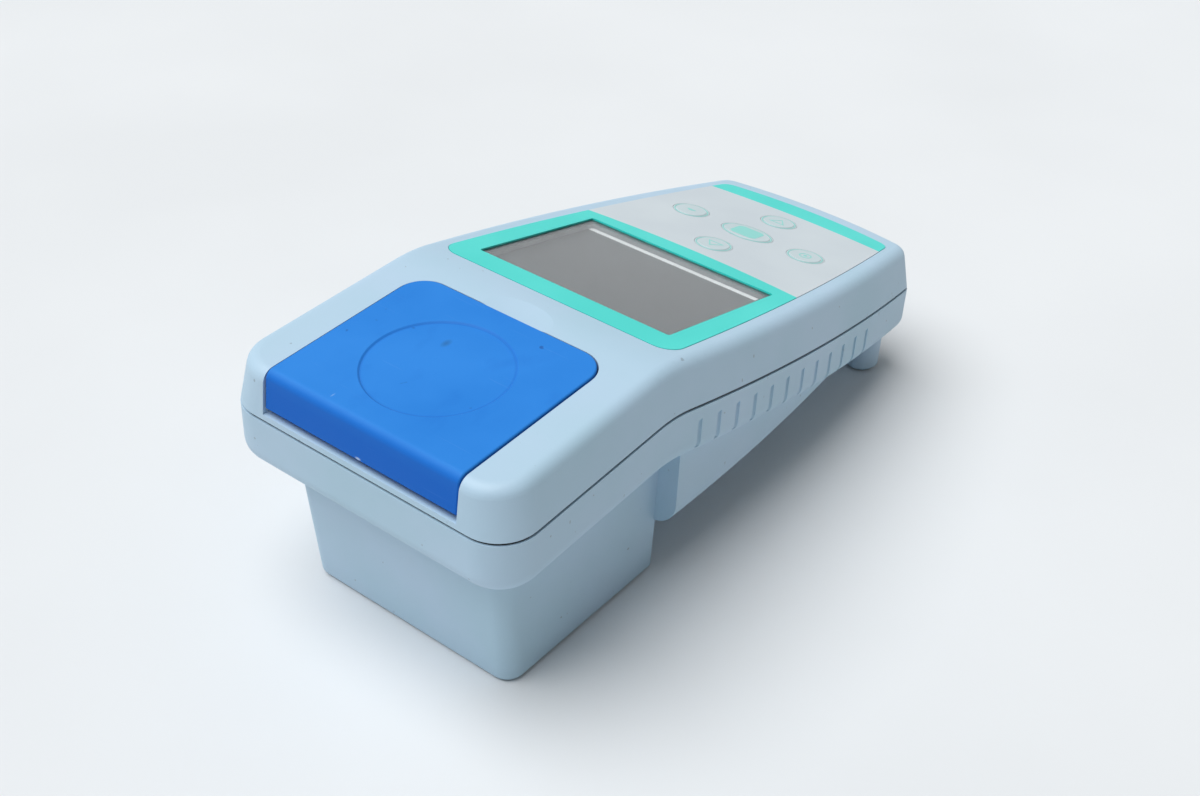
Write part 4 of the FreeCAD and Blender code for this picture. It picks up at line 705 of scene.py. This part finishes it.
# Radius at the middle of the sleeve's thickness
SLEEVE_RADIUS = 5.26
sizes = {
    "Half Length": SLEEVE_RADIUS * MM,
    "Half Width": SLEEVE_RADIUS * MM,
    "Line Width": 0.1 * MM,
    "Ink Thickness": 41.5 * MM,
    "Ink": materials["cell_wrap"],
}
along_cell = Matrix.Rotation(math.pi / 2, 4, "X")
for index in range(CELLS):
    x = FIRST_CELL + index * CELL_PITCH
    y = CELL_MIDDLE + (CAN_SHIFT if index % 2 else -CAN_SHIFT)
    place = Matrix.Translation(Vector((x, y, CELL_AXIS)) * MM) @ along_cell
    sleeve = grown("cell_sleeve_" + str(index + 1), rings, sizes, place)
    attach(sleeve, "base")
print("sleeves:", CELLS)

# %% [markdown]
# ## Floor and light
# The photo shows the meter on a plain pale sheet under soft light from above, a little from the
# left and behind. A sun lamp with a very wide angle works as a big soft box: its shadow is
# soft, and it lights the whole sheet evenly, which a lamp close by would not. The sheet gets a
# colour of its own, so the background is pale without more light on the object.

# %% Floor
REACH = 4.0


def floor_finish():
    material, tree, shader, place = finish("pale_paper")
    shader.inputs["Base Color"].default_value = linear("#e3e6e9")
    paint(tree, shader, patches(tree, place, 160, 0.35, 0.65), linear("#dfe2e5"))
    shader.inputs["Roughness"].default_value = 0.8
    return material


corners = [(x * REACH, y * REACH, 0) for x, y in ((-1, -1), (1, -1), (1, 1), (-1, 1))]
floor_mesh = bpy.data.meshes.new("floor")
floor_mesh.from_pydata(corners, [], [[0, 1, 2, 3]])
floor_mesh.materials.append(floor_finish())
floor = bpy.data.objects.new("floor", floor_mesh)
bpy.context.scene.collection.objects.link(floor)
print("floor:", 2 * REACH, "m wide")

# %% Soft key light
TOWARDS_LAMP = Vector((0.23, 0.28, 0.93))
key_light = bpy.data.lights.new("key_light", "SUN")
key_light.energy = 3.05
key_light.angle = math.radians(54)
key_light.color = linear("#fdfeff")[:3]
lamp = bpy.data.objects.new("key_light", key_light)
lamp.rotation_euler = TOWARDS_LAMP.to_track_quat("Z", "Y").to_euler()
bpy.context.scene.collection.objects.link(lamp)
print("key light strength:", key_light.energy)

# %% [markdown]
# ## World
# The world does two jobs. As a light it is a dim fill that keeps the shaded side readable, and as
# a backdrop it is as pale as the sheet, so that a low view has no dark horizon. Light Path tells
# the two apart: what the camera sees directly, in a reflection or through glass gets the
# backdrop.

# %% Fill and backdrop
world = bpy.data.worlds.new("studio")
world.use_nodes = True
sky = world.node_tree
fill = sky.nodes["Background"]
fill.inputs["Color"].default_value = linear("#f5f4ed")
fill.inputs["Strength"].default_value = 0.22
backdrop = add(sky, "ShaderNodeBackground", {"Color": linear("#e8ebee"), "Strength": 1.0})
path = add(sky, "ShaderNodeLightPath").outputs
straight = {0: path["Is Camera Ray"], 1: path["Is Glossy Ray"]}
mirrored = add(sky, "ShaderNodeMath", straight, operation="MAXIMUM").outputs[0]
through = {0: mirrored, 1: path["Is Transmission Ray"]}
seen = add(sky, "ShaderNodeMath", through, operation="MAXIMUM").outputs[0]
parts = {0: seen, 1: fill.outputs[0], 2: backdrop.outputs[0]}
both = add(sky, "ShaderNodeMixShader", parts)
sky.links.new(both.outputs[0], sky.nodes["World Output"].inputs["Surface"])
bpy.context.scene.world = world
bpy.context.scene.view_settings.view_transform = "Standard"
print("world ready")

# %% [markdown]
# ## Camera
# The camera stands where the photo was taken: in front of the lid end, to the left of the case and
# well above it. Its place came from matching edges of known size in the photo.

# %% Camera
# Place in mm, and turns about X, Y and Z in degrees
CAMERA_PLACE = (-215.7, 305.6, 293.5)
CAMERA_TURN = (54.088, -2.31, -142.077)
camera_data = bpy.data.cameras.new("photo_camera")
camera_data.sensor_fit = "HORIZONTAL"
camera_data.sensor_width = 36
camera_data.lens = 48.795
camera_data.clip_start = 0.01
camera_data.clip_end = 20
camera = bpy.data.objects.new("photo_camera", camera_data)
camera.location = Vector(CAMERA_PLACE) * MM
camera.rotation_euler = [math.radians(angle) for angle in CAMERA_TURN]
bpy.context.scene.collection.objects.link(camera)
bpy.context.scene.camera = camera
print("camera at", [round(v, 3) for v in camera.location])
